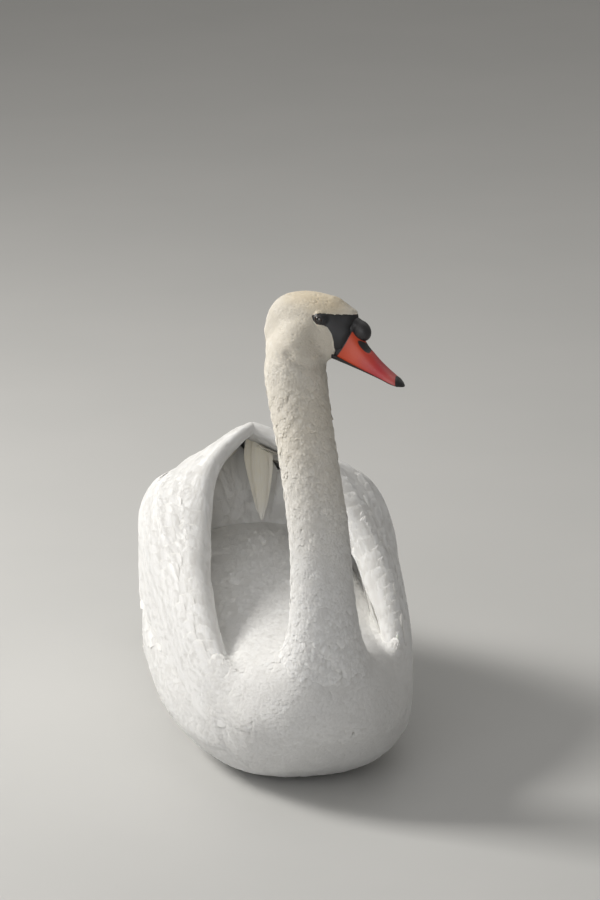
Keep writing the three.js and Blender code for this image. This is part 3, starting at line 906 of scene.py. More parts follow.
def plumageColour(finish, tone, along):  # creamy towards the head, yellow on the crown, with painted shade towards each feather's root
    place = finish.place()
    _, y, z = finish.split(place)
    soft = finish.noise(place, 14.0)
    fine = finish.noise(place, 60.0)
    creamy = z.between(0.2, 0.52) * y.between(-0.11, -0.16) * 0.68 + (soft - 0.5) * 0.3
    colour = finish.blend(creamy.between(0, 1), colours["white"], colours["cream"])
    forward, _, crown = finish.placeIn(headMatrix)
    onHead = crown.between(-4, 24) * forward.between(-70, -50) * forward.between(34, 6)
    yellow = onHead * (0.35 + soft * 0.6)
    colour = finish.blend(yellow, colour, colours["crown"])
    # painted shade: each feather grows darker towards its root, where the feathers above shade it; tone and
    # fine noise vary it at random
    rootShadeAndTone = (1 - along) * 0.55 + tone * 0.25 + (fine - 0.5) * 0.3
    return finish.blend(rootShadeAndTone.between(0.1, 1.3), colour, finish.blend(0.5, colour, colours["shade"]))


def makeSkinFinish():
    finish = Finish("skinUnderPlumage", Roughness=0.85, Subsurface_Weight=0.2, Subsurface_Scale=0.003)
    place = finish.place()
    colour = plumageColour(finish, finish.noise(place, 200.0), finish.noise(place, 90.0))
    isBare = finish.attribute("bare").between(1.1, 0.2)
    pores = finish.noise(place, 900.0, 2.0)
    colour = finish.blend(isBare, colour, colours["bareBlack"])
    rough = 0.85 - isBare * 0.42
    return finish.set(Base_Color=colour, Roughness=rough, Normal=finish.bump(pores, 0.35, 0.0006))


def makeCoatFinish():
    finish = Finish(
        "plumage", Roughness=0.78, Sheen_Weight=0.12, Sheen_Roughness=0.6, Subsurface_Weight=0.4,
        Subsurface_Radius=(1.0, 0.92, 0.8), Subsurface_Scale=0.005,
    )
    across, along, _ = finish.vane()
    colour = plumageColour(finish, finish.attribute("tone"), along)
    barbs = finish.add("ShaderNodeMath", {"operation": "SINE"}, (along * 60 - abs(across - 0.5) * 40))
    return finish.set(Base_Color=colour, Normal=finish.bump(barbs * 0.5 + 0.5, 0.12, 0.0003))


def makeVaneFinish(name, yellowed):
    finish = Finish(
        name, Roughness=0.6, Sheen_Weight=0.08, Sheen_Roughness=0.5, Subsurface_Weight=0.4,
        Subsurface_Radius=(1.0, 0.92, 0.8), Subsurface_Scale=0.005,
    )
    place = finish.place()
    across, along, _ = finish.vane()
    x, y, z = finish.split(place)
    tone = finish.attribute("tone")
    stretched = finish.add("ShaderNodeCombineXYZ", {}, across * 26, along * 9, tone * 40)
    streaks = finish.noise(stretched, 1.0, 4.0)
    away = abs(across - 0.5)
    # painted shade: darker towards each vane's root, where the vane above shades it; the streaks and tone
    # vary it at random
    rootShadeAndTone = streaks * 0.5 + (1 - along) * 0.25 + tone * 0.2
    colour = finish.blend(rootShadeAndTone.between(0.1, 1.1), colours["white"], colours["shade"])
    if yellowed:
        # yellowish near the middle of the hollow: from 0.22 m up, within 0.07 m of the middle, fading in
        # behind y = -0.14 m
        hollowYellow = z.between(0.22, 0.28) * abs(x).between(0.07, 0.01) * y.between(-0.14, -0.04)
        colour = finish.blend(hollowYellow * (streaks * 0.5 + 0.1), colour, colours["hollowYellow"])
    shaft = away.between(0.022, 0.008) * along.between(1.0, 0.9)
    colour = finish.blend(shaft * 0.6, colour, colours["shaft"])
    barbs = finish.add("ShaderNodeMath", {"operation": "SINE"}, along * 330 - away * 190)
    height = barbs * 0.35 + streaks * 0.8
    return finish.set(Base_Color=colour, Normal=finish.bump(height, 0.25, 0.0005))


skinFinish, coatFinish = makeSkinFinish(), makeCoatFinish()
vaneFinish, liningFinish = makeVaneFinish("longVanes", False), makeVaneFinish("liningVanes", True)
newObject("skin", skinMesh, skinFinish, skin["nodes"])

# Coat of head, neck and body

eyeCentres = [fromHead([0, side * head["eyeSide"], 0]) for side in (-1, 1)]


def clearOfFace(points):
    clear = bareness(points) > 0.4
    for centre in eyeCentres:
        clear &= np.linalg.norm(points - centre, axis=-1) > (head["eyeRadius"] + 1.6) * mm
    return clear


coatLengths = {  # millimetres
    "head": (2.6, 5.4),  # beside the bare skin, away from it
    "neck": (13, 8.0),  # at the foot, above
    "body": (15, 34, 42),  # at the breast, in the middle, at the rear
    "belly": 12,  # what the underside has more
    "wing": (16, 40),  # at the shoulder, far from it
}


def headLength(points):
    return mix(*coatLengths["head"], ease(0, 14, bareness(points))) * mm


def neckLength(points):
    return mix(*coatLengths["neck"], ease(0.2, 0.34, points[:, 2])) * mm


def bodyLength(points):
    station = points[:, 1] / mm - wing["breast"]
    breast, middle, rear = coatLengths["body"]
    front = mix(breast, middle, ease(60, 300, station))
    belly = ease(0.05, 0.02, points[:, 2]) * coatLengths["belly"]
    return (mix(front, rear, ease(380, 620, station)) + belly) * mm


def wingLength(points):
    station, girth = sheetPlace(points)
    away = np.hypot(station - wing["hinge"][0], girth - wing["hinge"][1])
    return mix(*coatLengths["wing"], ease(10, 320, away)) * mm


coats = {
    "head_plumage": {
        "length": headLength, "spacing": 0.37, "width": 0.8, "thick": 0.035, "camber": 0.12, "lift": 0.95,
        "stray": 7, "lumps": 0.16, "lumpSize": 12, "section": tuftSection, "outline": tuftOutline,
    },
    "neck_upper_plumage": {
        "length": neckLength, "spacing": 0.31, "width": 0.82, "thick": 0.035, "camber": 0.16, "lift": 0.95,
        "stray": 10, "sway": 8, "lumps": 0.3, "lumpSize": 11, "roll": 4, "section": tuftSection,
        "outline": tuftOutline,
    },
    "neck_lower_plumage": {
        "length": neckLength, "spacing": 0.3, "width": 0.8, "thick": 0.035, "camber": 0.16, "lift": 0.95,
        "stray": 10, "sway": 8, "lumps": 0.26, "lumpSize": 12, "roll": 3, "section": tuftSection,
        "outline": tuftOutline,
    },
    "breast_plumage": {
        "length": bodyLength, "spacing": 0.24, "width": 0.6, "thick": 0.014, "camber": 0.05, "lift": 0.92,
        "stray": 6, "sway": 5, "lumps": 0.07, "lumpSize": 22, "roll": 1.5, "section": tuftSection,
        "outline": coatOutline,
    },
    "flank_plumage": {
        "length": bodyLength, "spacing": 0.235, "width": 0.7, "thick": 0.014, "camber": 0.06, "lift": 0.92,
        "stray": 4, "sway": 3, "lumps": 0.05, "lumpSize": 40, "roll": 1.5, "section": tuftSection,
        "outline": coatOutline,
    },
    "wing_inner_plumage": {
        "length": wingLength, "spacing": 0.28, "width": 0.72, "thick": 0.016, "camber": 0.06, "lift": 0.9,
        "stray": 5, "lumps": 0.1, "lumpSize": 40, "roll": 3, "section": tuftSection, "outline": coatOutline,
    },
}


def chooseTriangles():
    onHead = (triNode == "head") & clearOfFace(triMiddles)
    onWings = np.char.startswith(triNode, "wing")
    normals = unit(skinNormals[triCorners].mean(1))
    side = np.sign(triMiddles[:, 0])
    station, girth = sheetPlace(triMiddles)
    low, high, _ = np.moveaxis(lobeAt(station), -1, 0)
    out = unit(onWing(side, station, girth, 1.0) - onWing(side, station, girth))
    inner = onWings & ((out * normals).sum(-1) < 0) & (station < 400)
    inner &= (girth > low + 14) & (girth < high - 44)
    legs, _ = treeOf([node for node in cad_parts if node.startswith(("leg", "foot"))])
    clear = np.array([legs.find_nearest(Vector(p), 9 * mm)[0] is None for p in triMiddles])
    onTrunk = (triNode == "trunk") & clear & ~((triMiddles[:, 2] < 9 * mm) & (normals[:, 2] < -0.9))
    front = triMiddles[:, 1] < -0.19
    shoulders = onWings & (station < 132) & ~((out * normals).sum(-1) < -0.3)
    return {
        "head_plumage": onHead, "neck_upper_plumage": triNode == "neck_upper",
        "neck_lower_plumage": triNode == "neck_lower", "breast_plumage": onTrunk & front | shoulders,
        "flank_plumage": onTrunk & ~front, "wing_inner_plumage": inner,
    }


def makeCoats():
    for name, chosen in chooseTriangles().items():
        style = coats[name]
        roots = scatter(np.nonzero(chosen)[0], lambda p: style["length"](p) * style["spacing"])
        if name == "head_plumage":
            roots = roots[clearOfFace(roots)]
        newObject(name, growCoat(name, roots, style), coatFinish)


makeCoats()

# Coverts: rows of rounded feathers over the outer side of each wing


def addFeathers(name, places, rolls, outline=covertOutline, finish=coatFinish, flip=False):
    uv, tone = onSkin(places[:, 0])[2], rolls.uniform(0, 1, len(places))
    mesh = vaneMesh(name, places, uv, tone, vaneSection, outline, flip=flip)
    newObject(name, mesh, finish)


roll = {
    "angle": 41.5,  # the line in the fan that they roll over
    "radius": ((40, 8), (110, 15), (230, 22), (360, 20), (450, 11), (540, 6)),
    "bend": 16,  # millimetres of the cross coordinate to a radian
    "span": (40, 340),  # distances between which they grow longer and wider
    "length": (46, 92),
    "half": (11, 17),
    "thickness": 0.28,
    "lift": (0.2, 2.2),  # depth under the sheet at the outer side and at the bend
    "from": 44,
    "outer": -60,
    "inner": 96,
    "gap": 9.5,
    "stagger": 8,
    "overlap": 0.3,  # share of the length from one root to the next
    "stop": 4,  # millimetres short of the middle
}

coverts = {
    "reach": 520,
    "from": -1.5,  # radians round the shoulder
    "sweep": 3.6,
    "stations": (92, 572),
    "length": (19, 58),  # millimetres, near the shoulder and far from it
    "farAt": 400,  # distance from the shoulder where they are longest
    "width": (0.66, 0.52),  # share of the length
    "rowGap": 0.32,
    "sideGap": 0.56,
    "rootDepth": 3.0,
    "tipDepth": 0.8,
    "thickness": 0.26,
}


def covertRoots(side):  # station and girth of each root, in rows round the shoulder
    rolls = np.random.default_rng(31 + side)
    roots, away, row = [], 4.0, 0
    while away < coverts["reach"]:
        size = np.interp(away, (0, coverts["farAt"]), coverts["length"])
        width = size * np.interp(away, (0, coverts["farAt"]), coverts["width"])
        step = width * coverts["sideGap"] / max(away, 14)
        for i in range(int(coverts["sweep"] / step)):
            angle = coverts["from"] + (i + 0.5 * (row % 2)) * step + rolls.normal() * 0.05 * step
            far = away + rolls.normal() * 0.06 * size
            station = wing["hinge"][0] + math.cos(angle) * far
            girth = wing["hinge"][1] + math.sin(angle) * far
            if not coverts["stations"][0] < station < coverts["stations"][1]:
                continue
            low, high, _ = lobeAt(station)
            ahead = station + size * 0.8 - wing["hinge"][0]
            above = girth + size * 0.6 - wing["hinge"][1]
            tip = math.degrees(math.atan2(above, ahead))
            rim = roll["angle"] * (0.78 + 0.22 * ((away + size) / 500) ** 2)
            if low - 2 < girth < high - 4 and tip < rim:
                roots.append((station, girth, size, width))
        away += size * coverts["rowGap"]
        row += 1
    return np.array(roots)


def makeCoverts(side, name):
    station, girth, size, width = covertRoots(side).T
    count = len(station)
    size = size * chance.uniform(0.92, 1.08, count)
    wayStation, wayGirth = fanWay(station, girth)
    stray = np.radians(3) * chance.normal(size=count)
    ways = np.stack([wayStation - wayGirth * stray, wayGirth + wayStation * stray], -1)
    along = np.array(covertOutline, float)[:, 0]
    path = np.stack([station, girth], -1)[:, None] + ways[:, None] * (size[:, None] * along)[..., None]
    low, high, _ = np.moveaxis(lobeAt(path[..., 0]), -1, 0)
    beyond = np.maximum(np.maximum(low - path[..., 1], path[..., 1] - high), 0)
    beyond = beyond + np.maximum(path[..., 0] - coverts["stations"][1], 0)
    depth = mix(coverts["rootDepth"], coverts["tipDepth"], along**0.5) + chance.uniform(0, 0.25, (count, 1))
    under = np.maximum(low - path[..., 1], 0) * ease(140, 200, path[..., 0])
    depth = depth + np.minimum(beyond * 0.1, 4) + np.minimum(under * 0.3, 6)
    depth = depth + 3 * ease(150, 96, path[..., 0])
    depth = depth + 2 * ease(high - 24, high - 4, path[..., 1]) * ease(100, 150, path[..., 0])
    places = drapedVanes(
        lambda s, g, o: onWing(side, s, g, o), path, width / 2, coverts["thickness"], depth, 0.025, 0,
        vaneSection, covertOutline,
    )
    addFeathers(name, places, chance, flip=side < 0)


makeCoverts(-1, "wing_right_coverts")
makeCoverts(1, "wing_left_coverts")

# Scapulars: soft feathers that roll over the front edge of each raised wing, into the hollow


def onRoll(side, distance, arc, offset):
    radius = np.interp(distance, *np.array(roll["radius"], float).T)
    station, girth = fanPlace(roll["angle"], distance)
    further = fanPlace(roll["angle"], distance + 1)
    ahead, up = further[0] - station, further[1] - girth
    size = np.hypot(ahead, up)
    end = roll["bend"] * math.pi
    bent = np.clip(arc, 0, end) / roll["bend"]
    lateral = radius * np.sin(bent) + np.minimum(arc, 0) - np.maximum(arc - end, 0) + offset * np.sin(bent)
    base = np.interp(arc, (roll["outer"], 0), roll["lift"])
    depth = base + radius * (1 - np.cos(bent)) - offset * np.cos(bent)
    return onWing(side, station - up / size * lateral, girth + ahead / size * lateral, -depth)


def makeScapulars(side, name):
    rolls = np.random.default_rng(71 + side)
    last = roll["from"]
    while side * onRoll(side, last, 0, 0)[0] / mm > roll["stop"]:
        last += 2
    starts = []
    for row, arc in enumerate(np.arange(roll["outer"], roll["inner"], roll["gap"])):
        distance = roll["from"] + (row % 3) * roll["stagger"]
        while distance < last:
            size = np.interp(distance, roll["span"], roll["length"]) * rolls.uniform(0.9, 1.1)
            size = min(size, last + 3 - distance)
            if size > 24:
                starts.append((distance, arc + rolls.normal() * 1.2, size, rolls.normal() * 0.05))
            distance += size * roll["overlap"]
    distance, arc, size, drift = np.array(starts).T
    along = np.array(covertOutline, float)[:, 0]
    path = np.stack([
        distance[:, None] + size[:, None] * along, arc[:, None] + (drift * size)[:, None] * along,
    ], -1)
    half = np.interp(distance, roll["span"], roll["half"])
    depth = mix(3.0, 0.2, along**0.5) + rolls.uniform(0, 0.25, (len(size), 1))
    places = drapedVanes(
        lambda d, a, o: onRoll(side, d, a, o), path, half, roll["thickness"], depth, 0.025, 0,
        vaneSection, covertOutline,
    )
    addFeathers(name, places, rolls, flip=side < 0)


makeScapulars(-1, "wing_right_scapulars")
makeScapulars(1, "wing_left_scapulars")

# Long feathers of wings and tail

# Angles of the fan, number, root as a share of the reach, depth under the sheet, gap to the middle on
# the right and on the left, half width.
longRows = {
    "tertials": {
        "from": 26, "to": 42, "count": 9, "root": 0.40, "sink": 4.6, "meet": (-12, -15), "half": 27,
    },
    "secondaries": {
        "from": 10, "to": 30, "count": 11, "root": 0.42, "sink": 10.6, "meet": (-12, -20), "half": 24,
    },
    "primaries": {
        "from": 3, "to": 15, "count": 8, "root": 0.42, "sink": 17.2, "meet": (-10, -16), "half": 20,
    },
}
lining = {
    "from": 5, "to": 37, "count": 15, "root": 0.12, "sink": 20, "meet": (-6, -6), "half": 29,
    "share": 0.9, "flesh": ((110, 230, 360, 450), (8, 22, 20, 11)),  # stations, half the wing's thickness
}
lapped = {"deeper": 9, "between": (20, -12)}  # the right wing's feathers, where the left wing lies on them
tail = {
    "root": (612, 124), "spread": 25, "length": 172, "count": 12, "half": 17, "thick": 0.9,
    "inside": 30, "shorter": 30, "curl": 20, "droop": 9, "step": 0.5,
}


def atlasPatches(count):  # the middle of each long feather's own patch, and a patch's width
    columns = math.ceil(math.sqrt(count))
    index = np.arange(count)
    return np.stack([index % columns + 0.5, index // columns + 0.5], -1) / columns, 0.9 / columns


def rowPlaces(side, row):
    along = np.array(longOutline, float)[:, 0]
    path, depth = [], []
    for i in range(row["count"]):
        angle = mix(row["from"], row["to"], (i + 0.5) / row["count"]) + chance.normal() * 0.15
        reach = fanReach(angle)[0] * row.get("share", 1) + chance.normal() * 3
        limit = row["meet"][1 if side > 0 else 0] + chance.normal() * 4
        while side * onWing(side, *fanPlace(angle, reach), -row["sink"])[0] / mm < limit:
            reach -= 2
        station, girth = fanPlace(angle, reach * mix(row["root"], 1, along))
        path.append(np.stack([station, girth], -1))
        across = side * onWing(side, station, girth)[:, 0] / mm
        under = lapped["deeper"] * ease(*lapped["between"], across) if side < 0 else 0
        if row is lining:
            under = 2 * np.interp(station, *lining["flesh"]) - 18
        depth.append(row["sink"] + chance.normal() * 0.15 + under + along * 0)
    half = np.full(row["count"], row["half"])
    return drapedVanes(
        lambda s, g, o: onWing(side, *withinFan(s, g), o), np.array(path), half, 0.8, np.array(depth), 0.02,
        0.05 if row is lining else -0.05, vaneSection, longOutline,
    )


def tailPlaces():
    along = np.array(longOutline, float)[:, 0]
    centre, across, ups = [], [], []
    for i in range(tail["count"]):
        angle = mix(-tail["spread"], tail["spread"], (i + 0.5) / tail["count"]) * 0.94
        turn = math.radians(angle)
        off = (angle / tail["spread"]) ** 2
        reach = tail["inside"] + (tail["length"] - tail["shorter"] * off) * along
        height = tail["root"][1] + tail["curl"] * along**2 - tail["droop"] * off
        height = height + 1.6 - tail["step"] * abs(i - 5.5)
        station = tail["root"][0] - tail["inside"] + np.cos(turn) * reach
        line = np.stack([math.sin(turn) * reach, wing["breast"] + station, height + along * 0], -1) * mm
        ways = unit(np.gradient(line, axis=0))
        over = unit(np.cross(ways, np.array([0.06 * np.sign(angle), 0, 1])))
        centre.append(line)
        across.append(over)
        ups.append(unit(np.cross(over, ways)))
    centre, across, ups = (np.array(part) for part in (centre, across, ups))
    half, thickness = (np.full(tail["count"], tail[key] * mm) for key in ("half", "thick"))
    return flatVanes(centre, across, ups, half, thickness, 0.06, vaneSection, longOutline)


rump = {
    "rows": (  # station, height of the root, length, height of the tip
        (566, 236, 84, 222), (588, 228, 84, 210), (612, 216, 86, 194), (638, 200, 88, 176),
        (666, 180, 90, 159), (694, 160, 84, 149),
    ),
    "across": (-44, -30, -15, 0, 15, 30, 44),
    "half": 15,
    "thick": 0.5,
}


def makeRump():
    rows, along = [], np.array(covertOutline, float)[:, 0]
    for row, (station, height, size, end) in enumerate(rump["rows"]):
        for x in rump["across"]:
            side = (x + 7 * (row % 2)) * mix(0.7, 0.95, row / 5) + chance.normal() * 1.5
            y = wing["breast"] + station + chance.normal() * 3 + size * along
            z = mix(height, end, along) - side**2 / mix(60, 110, row / 5)
            rows.append(np.stack([side * (1 + 0.12 * along), y, z], -1) * mm)
    centre = np.array(rows)
    ways = unit(np.gradient(centre, axis=1))
    lean = np.stack([centre[..., 0] * 9, 0 * centre[..., 0], 1 + 0 * centre[..., 0]], -1)
    over = unit(np.cross(ways, lean))
    ups = unit(np.cross(over, ways))
    half, thickness = (np.full(len(rows), rump[key] * mm) for key in ("half", "thick"))
    places = flatVanes(centre, over, ups, half, thickness, 0.06, vaneSection, covertOutline)
    addFeathers("rump_plumage", places, chance)


hollow = {  # the feathers that close the back of the hollow, from the back up to the sheet
    "foot": (112, 229),  # y and z at the middle
    "arch": 450,
    "bend": 900,
    "lean": 78,
    "height": 130,
    "side": 100,
    "rows": 8,
    "rowGap": 15,
    "length": 46,
    "half": 13,
    "gap": 11,
}
fold = {  # three creamy feathers that hang in front of them
    "tops": ((4, 128, 340), (24, 127, 338), (14, 124, 342)),
    "tips": ((10, 99, 246), (18, 98, 248), (13, 92, 237)),
    "half": (12, 12, 13),
    "thick": 0.5,
    "bow": 7,
}


def onHollow(across, up, offset):
    share = up / hollow["height"]
    foot = hollow["foot"][1] - across**2 / hollow["arch"]
    y = hollow["foot"][0] + hollow["lean"] * share**2 + across**2 / hollow["bend"]
    return np.stack([across, y - 0.8 * offset, foot + up + 0.6 * offset - 6], -1) * mm


def makeHollow():
    rolls = np.random.default_rng(41)
    sheet = onWing(1, 545, np.linspace(60, 420, 300), -7.0) / mm
    order = np.argsort(sheet[:, 0])
    starts = []
    for row in range(hollow["rows"]):
        for across in np.arange(-hollow["side"], hollow["side"], hollow["gap"]):
            x = across + hollow["gap"] / 2 * (row % 2) + rolls.normal() * 1.2
            foot = hollow["foot"][1] - 6 - x**2 / hollow["arch"]
            top = np.interp(abs(x), sheet[order, 0], sheet[order, 2]) - foot
            up = min(hollow["height"], top) - row * hollow["rowGap"] + rolls.normal() * 2
            if up > 8:
                starts.append((x, up, hollow["length"] * rolls.uniform(0.9, 1.1)))
    x, up, size = np.array(starts).T
    along = np.array(covertOutline, float)[:, 0]
    path = np.stack([x[:, None] * (1 - 0.3 * along), up[:, None] - size[:, None] * along], -1)
    depth = mix(3, 0.3, along**0.5) + rolls.uniform(0, 0.5, (len(x), 1))
    half = np.full(len(x), hollow["half"])
    places = drapedVanes(onHollow, path, half, 0.4, depth, 0.05, 0, vaneSection, covertOutline)
    addFeathers("hollow_plumage", places, rolls)


def makeFold():
    along = np.array(longOutline, float)[:, 0]
    tops, tips = (np.array(fold[key], float)[:, None] for key in ("tops", "tips"))
    centre = mix(tops, tips, along[None, :, None]) * mm
    centre[..., 1] -= fold["bow"] * mm * np.sin(along * math.pi)
    ways = unit(np.gradient(centre, axis=1))
    over = unit(np.cross(ways, np.array([0, -1, 0])))
    ups = unit(np.cross(over, ways))
    half, thickness = np.array(fold["half"]) * mm, np.full(len(tops), fold["thick"] * mm)
    places = flatVanes(centre, over, ups, half, thickness, 0.05, vaneSection, pointedOutline)
    addFeathers("hollow_fold", places, chance, pointedOutline, liningFinish)


def makeLongFeathers():
    def finished(name, places, nodes=(), flip=False, finish=vaneFinish):
        uv, patch = atlasPatches(len(places))
        tone = chance.uniform(0, 1, len(places))
        mesh = vaneMesh(name, places, uv, tone, vaneSection, longOutline, patch, flip)
        newObject(name, mesh, finish, nodes)

    for sideName, side in (("right", -1), ("left", 1)):
        for rowName, row in longRows.items():
            name = f"wing_{sideName}_{rowName}"
            finished(name + "_vanes", rowPlaces(side, row), [name], side < 0)
        finished(f"wing_{sideName}_lining", rowPlaces(side, lining), (), side < 0, liningFinish)
    finished("tail_vanes", tailPlaces(), ["tail"])
    makeRump()
    makeHollow()
    makeFold()
    print("long feathers made")


makeLongFeathers()

# Bill

upperBillAt = through([  # distance along the bill: half width, cutting edge, ridge
    (26, 15.6, -38, 7), (34, 15.4, -39.4, 2), (44, 15, -41, -5), (54, 14.2, -42.6, -13),
    (66, 13.4, -44.4, -22), (78, 12.8, -46.2, -29.5), (90, 12.6, -48, -35.6), (100, 12.2, -49.6, -40),
    (108, 10.4, -50.8, -43.2), (113, 6.8, -51.4, -45.8), (116, 2.6, -51, -48.4),
])
lowerBillAt = through([  # distance along the bill: half width, underside
    (22, 14.4, -45), (44, 13.6, -46.2), (66, 12.2, -48), (90, 11.4, -50.4), (102, 10.6, -52.4),
    (109, 6.5, -53.2),
])
nostril = {"at": (57.2, -18.4), "half": (9.8, 2.8), "slope": -31, "depth": 1.6}


def lofted(name, rings):  # a closed mesh through rings of the head's frame
    made = bmesh.new()
    loops = []
    for ring in rings:
        verts = bmesh.ops.create_circle(made, cap_ends=False, radius=1, segments=len(ring))["verts"]
        for vert, place in zip(verts, fromHead(ring)):
            vert.co = place
        edges = {edge for vert in verts for edge in vert.link_edges}
        loops.append(list(edges))
    for low, high in zip(loops, loops[1:]):
        bmesh.ops.bridge_loops(made, edges=low + high)
    for loop in (loops[0], loops[-1]):
        bmesh.ops.contextual_create(made, geom=loop)
    bmesh.ops.recalc_face_normals(made, faces=made.faces)
    return smoothShaded(meshFrom(made, name))


def signedPower(value, power):
    return np.sign(value) * np.abs(value) ** power


def upperBillRings():
    rings = []
    for x in [*np.linspace(26, 104, 60), *np.linspace(104.8, 115.6, 18)]:
        halfWidth, edge, ridge = upperBillAt(x)
        angle = np.linspace(0, math.pi, 45)
        y = halfWidth * signedPower(np.cos(angle), 0.86)
        z = edge + (ridge - edge) * np.abs(np.sin(angle)) ** 0.9
        flat = np.linspace(-1, 1, 13)[1:-1]
        arch = np.stack([np.full(45, x), y, z], -1)
        under = np.stack([np.full(11, x), flat * halfWidth, edge + 0.9 * (1 - flat**4)], -1)
        rings.append(sculptBill(np.concatenate([arch, under])))
    return rings


def sculptBill(points):  # the nostrils, pressed in as shallow pits
    slope = math.radians(nostril["slope"])
    dx, dz = points[:, 0] - nostril["at"][0], points[:, 2] - nostril["at"][1]
    u = (dx * math.cos(slope) + dz * math.sin(slope)) / nostril["half"][0]
    v = (-dx * math.sin(slope) + dz * math.cos(slope)) / nostril["half"][1]
    pit = ease(1.25, 0.5, np.hypot(u, v)) * nostril["depth"]
    points = points.copy()
    points[:, 1] -= np.sign(points[:, 1]) * pit
    return points


def lowerBillRings():
    rings = []
    for x in np.linspace(22, 109, 50):
        halfWidth, underside = lowerBillAt(x)
        edge = upperBillAt(max(x, 26))[1] - 0.35
        angle = np.linspace(math.pi, 2 * math.pi, 25)
        y = halfWidth * signedPower(np.cos(angle), 0.8)
        z = edge - (edge - underside) * np.abs(np.sin(angle)) ** 0.8
        flat = np.linspace(1, -1, 9)[1:-1]
        bow = np.stack([np.full(25, x), y, z], -1)
        top = np.stack([np.full(7, x), flat * halfWidth, np.full(7, edge)], -1)
        rings.append(np.concatenate([bow, top]))
    return rings


def makeBillFinish():
    finish = Finish("billHorn", Roughness=0.38, Coat_Weight=0.25, Coat_Roughness=0.25)
    x, y, z = finish.placeIn(headMatrix)
    place = finish.place()
    mottle = finish.noise(place, 90.0)
    fine = finish.noise(place, 420.0)
    toTip = (x + (mottle - 0.5) * 16).between(46, 84)
    colour = finish.blend(toTip, colours["orange"], colours["crimson"])
    pale = (x + (mottle - 0.5) * 20).between(84, 104) * 0.5
    colour = finish.blend(pale, colour, colours["pink"])
    edgeLine = z + 0.187 * x + 33.0  # height over the cutting edge
    tomium = (edgeLine + (fine - 0.5) * 0.8).between(1.1, 0.3)
    base = (x - (z + 0.4) * (z + 0.4) * -0.006 - 38.4 + (fine - 0.5) * 0.8).between(0.6, -0.6)
    top = (z + (x - 38) * 0.62 + 0.4).between(-0.6, 0.6) * x.between(62, 56)
    slope = math.radians(nostril["slope"])
    dx, dz = x - nostril["at"][0], z - nostril["at"][1]
    u = (dx * math.cos(slope) + dz * math.sin(slope)) * (1 / nostril["half"][0])
    v = (dz * math.cos(slope) - dx * math.sin(slope)) * (1 / nostril["half"][1])
    hole = (u * u + v * v).between(1.25, 0.8)
    tip = (x + (z + 44) * 0.35 + abs(y) * -0.25).between(103.5, 104.6)
    dark = tomium.math("MAXIMUM", tomium, base)
    for part in (top, hole, tip):
        dark = dark.math("MAXIMUM", dark, part)
    colour = finish.blend(dark, colour, colours["bareBlack"])
    relief = finish.bump(mottle + fine * 0.4, 0.25, 0.0006)
    return finish.set(Base_Color=colour, Roughness=0.34 + fine * 0.16, Normal=relief)


def makeBlackFinish():
    finish = Finish("blackHorn", Roughness=0.42, Coat_Weight=0.15, Coat_Roughness=0.3)
    place = finish.place()
    soft, fine = finish.noise(place, 120.0), finish.noise(place, 700.0)
    colour = finish.blend(soft, colours["bareBlack"], colours["grey"])
    relief = finish.bump(soft + fine * 0.5, 0.35, 0.0007)
    return finish.set(Base_Color=colour, Roughness=0.36 + fine * 0.2, Normal=relief)


blackFinish = makeBlackFinish()

melted = {"knob": (0.7, 14), "nail": (0.45, 8)}  # size of a voxel, rounds of smoothing
knob = (  # eggs that melt into one: centre, radii, droop
    ((46.2, 0, -2.4), (13.8, 10.2, 11.4), 36),
    ((38.5, 0, 1.2), (13.5, 9.4, 9.8), 26),
    ((30, 0, -4), (12, 11, 12.5), 0),
)


def knobMesh():
    made = bmesh.new()
    for centre, radii, droop in knob:
        place = headMatrix @ Matrix.Scale(mm, 4) @ Matrix.Translation(centre)
        place = place @ Matrix.Rotation(math.radians(droop), 4, "Y") @ Matrix.Diagonal((*radii, 1))
        bmesh.ops.create_icosphere(made, subdivisions=4, radius=1, matrix=place)
    voxel, rounds = melted["knob"]
    whole = fused("knob", meshFrom(made, "knob"), voxel * mm)
    setPlaces(whole, relaxed(placesOf(whole), edgesOf(whole), rounds))
    return smoothShaded(whole)


def makeBill():
    newObject("bill_horn", lofted("bill_horn", upperBillRings()), makeBillFinish(), ["bill_upper"])
    newObject("mandible", lofted("mandible", lowerBillRings()), blackFinish, ["bill_lower"])
    newObject("knob", knobMesh(), blackFinish, ["bill_knob"])
    voxel, rounds = melted["nail"]
    nail = remeshed("nail", ["bill_nail"], voxel * mm)
    places = relaxed(placesOf(nail), edgesOf(nail), rounds)
    setPlaces(nail, places)
    setPlaces(nail, places + normalsOf(nail) * 0.45 * mm)
    newObject("nail", smoothShaded(nail), blackFinish, ["bill_nail"])
    print("bill made")


makeBill()

# Eyes and lids


def makeEyeFinish(side):
    name = "eyeLeft" if side > 0 else "eyeRight"
    finish = Finish(name, Roughness=0.06, Coat_Weight=1.0, Coat_Roughness=0.02)
    x, _, z = finish.placeIn(headMatrix)
    away = (x * x + z * z) ** 0.5
    grain = finish.noise(finish.place(), 900.0)
    brown = finish.blend(grain, colours["iris"], colours["irisDark"])
    colour = finish.blend(away.between(2.7, 2.3), brown, colours["pupil"])
    colour = finish.blend(away.between(4.4, 4.9), colour, colours["eyeRim"])
    return finish.set(Base_Color=colour)


lids = {"opening": (4.9, 4.1), "ring": 5, "corner": 1.5, "tube": 0.95, "clear": 0.15}


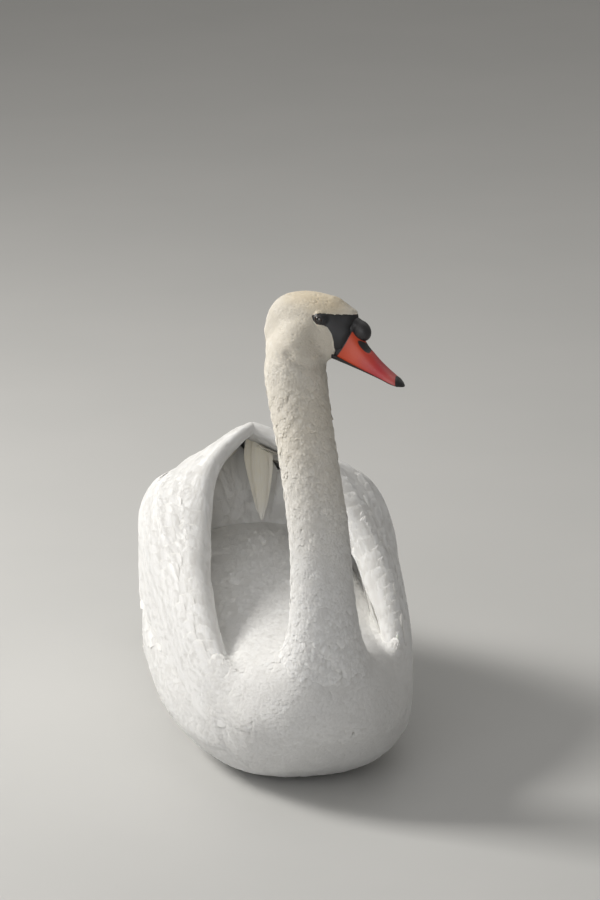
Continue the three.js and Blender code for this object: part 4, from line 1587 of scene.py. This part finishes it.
def lidRing(made, side):  # a rim round the opening, on the ball, drawn out towards the bill
    ring = bmesh.ops.create_circle(made, cap_ends=False, radius=lids["tube"], segments=12)["verts"]
    bmesh.ops.rotate(made, verts=ring, cent=(0, 0, 0), matrix=Matrix.Rotation(math.pi / 2, 3, "X"))
    bmesh.ops.translate(made, verts=ring, vec=(lids["ring"], 0, 0))
    edges = list({edge for vert in ring for edge in vert.link_edges})
    bmesh.ops.spin(
        made, geom=ring + edges, cent=(0, 0, 0), axis=(0, 0, 1), angle=2 * math.pi, steps=56,
        use_merge=True,
    )
    ball = head["eyeRadius"] + lids["clear"]
    for vert in made.verts:
        angle = math.atan2(vert.co.y, vert.co.x)
        out = math.hypot(vert.co.x, vert.co.y) - lids["ring"]
        x = (lids["opening"][0] + out) * math.cos(angle) + lids["corner"] * max(0, math.cos(angle)) ** 7
        z = (lids["opening"][1] + out) * math.sin(angle)
        rise = math.sqrt(max(0, ball**2 - min(ball, math.hypot(x, z)) ** 2))
        vert.co = Vector((x, side * (head["eyeSide"] + rise + vert.co.z * 0.8), z))


def makeEyes():
    rims = bmesh.new()
    for sideName, side in (("right", -1), ("left", 1)):
        made = bmesh.new()
        bmesh.ops.create_uvsphere(made, u_segments=48, v_segments=32, radius=head["eyeRadius"] * mm)
        move = headMatrix @ Matrix.Translation(Vector((0, side * head["eyeSide"], 0)) * mm)
        bmesh.ops.transform(made, matrix=move, verts=made.verts)
        mesh = smoothShaded(meshFrom(made, f"eyeball_{sideName}"))
        newObject(f"eyeball_{sideName}", mesh, makeEyeFinish(side), [f"eye_{sideName}"])
        rim = bmesh.new()
        lidRing(rim, side)
        bmesh.ops.transform(rim, matrix=headMatrix @ Matrix.Scale(mm, 4), verts=rim.verts)
        bmesh.ops.recalc_face_normals(rim, faces=rim.faces)
        half = meshFrom(rim, "rim")
        rims.from_mesh(half)
        bpy.data.meshes.remove(half)
    newObject("eyelids", smoothShaded(meshFrom(rims, "eyelids")), blackFinish)
    print("eyes made")


makeEyes()

# Legs and feet, tucked under the belly

feet = {  # millimetres; what is lower than "low" is set on the level of the sole
    "voxel": 1.3,
    "rounds": 5,
    "low": 0.6,
    "sole": 0.1,
}


def makeFeet():
    finish = Finish("footSkin", Roughness=0.55)
    place = finish.place()
    scales = finish.add("ShaderNodeTexVoronoi", {}, Vector=place, Scale=420.0)
    soft = finish.noise(place, 60.0)
    colour = finish.blend(soft, colours["foot"], colours["footPale"])
    material = finish.set(Base_Color=colour, Normal=finish.bump(scales, 0.5, 0.0007))
    for side in ("right", "left"):
        for part in ("foot", "leg"):
            node = f"{part}_{side}"
            mesh = remeshed(node + "_skin", [node], feet["voxel"] * mm)
            places = relaxed(placesOf(mesh), edgesOf(mesh), feet["rounds"])
            low = placesOf(mesh)[:, 2] < feet["low"] * mm
            places[low, 2] = feet["sole"] * mm
            setPlaces(mesh, places)
            newObject(node + "_skin", smoothShaded(mesh), material, [node])
    print("feet made")


makeFeet()

print("scene ready")
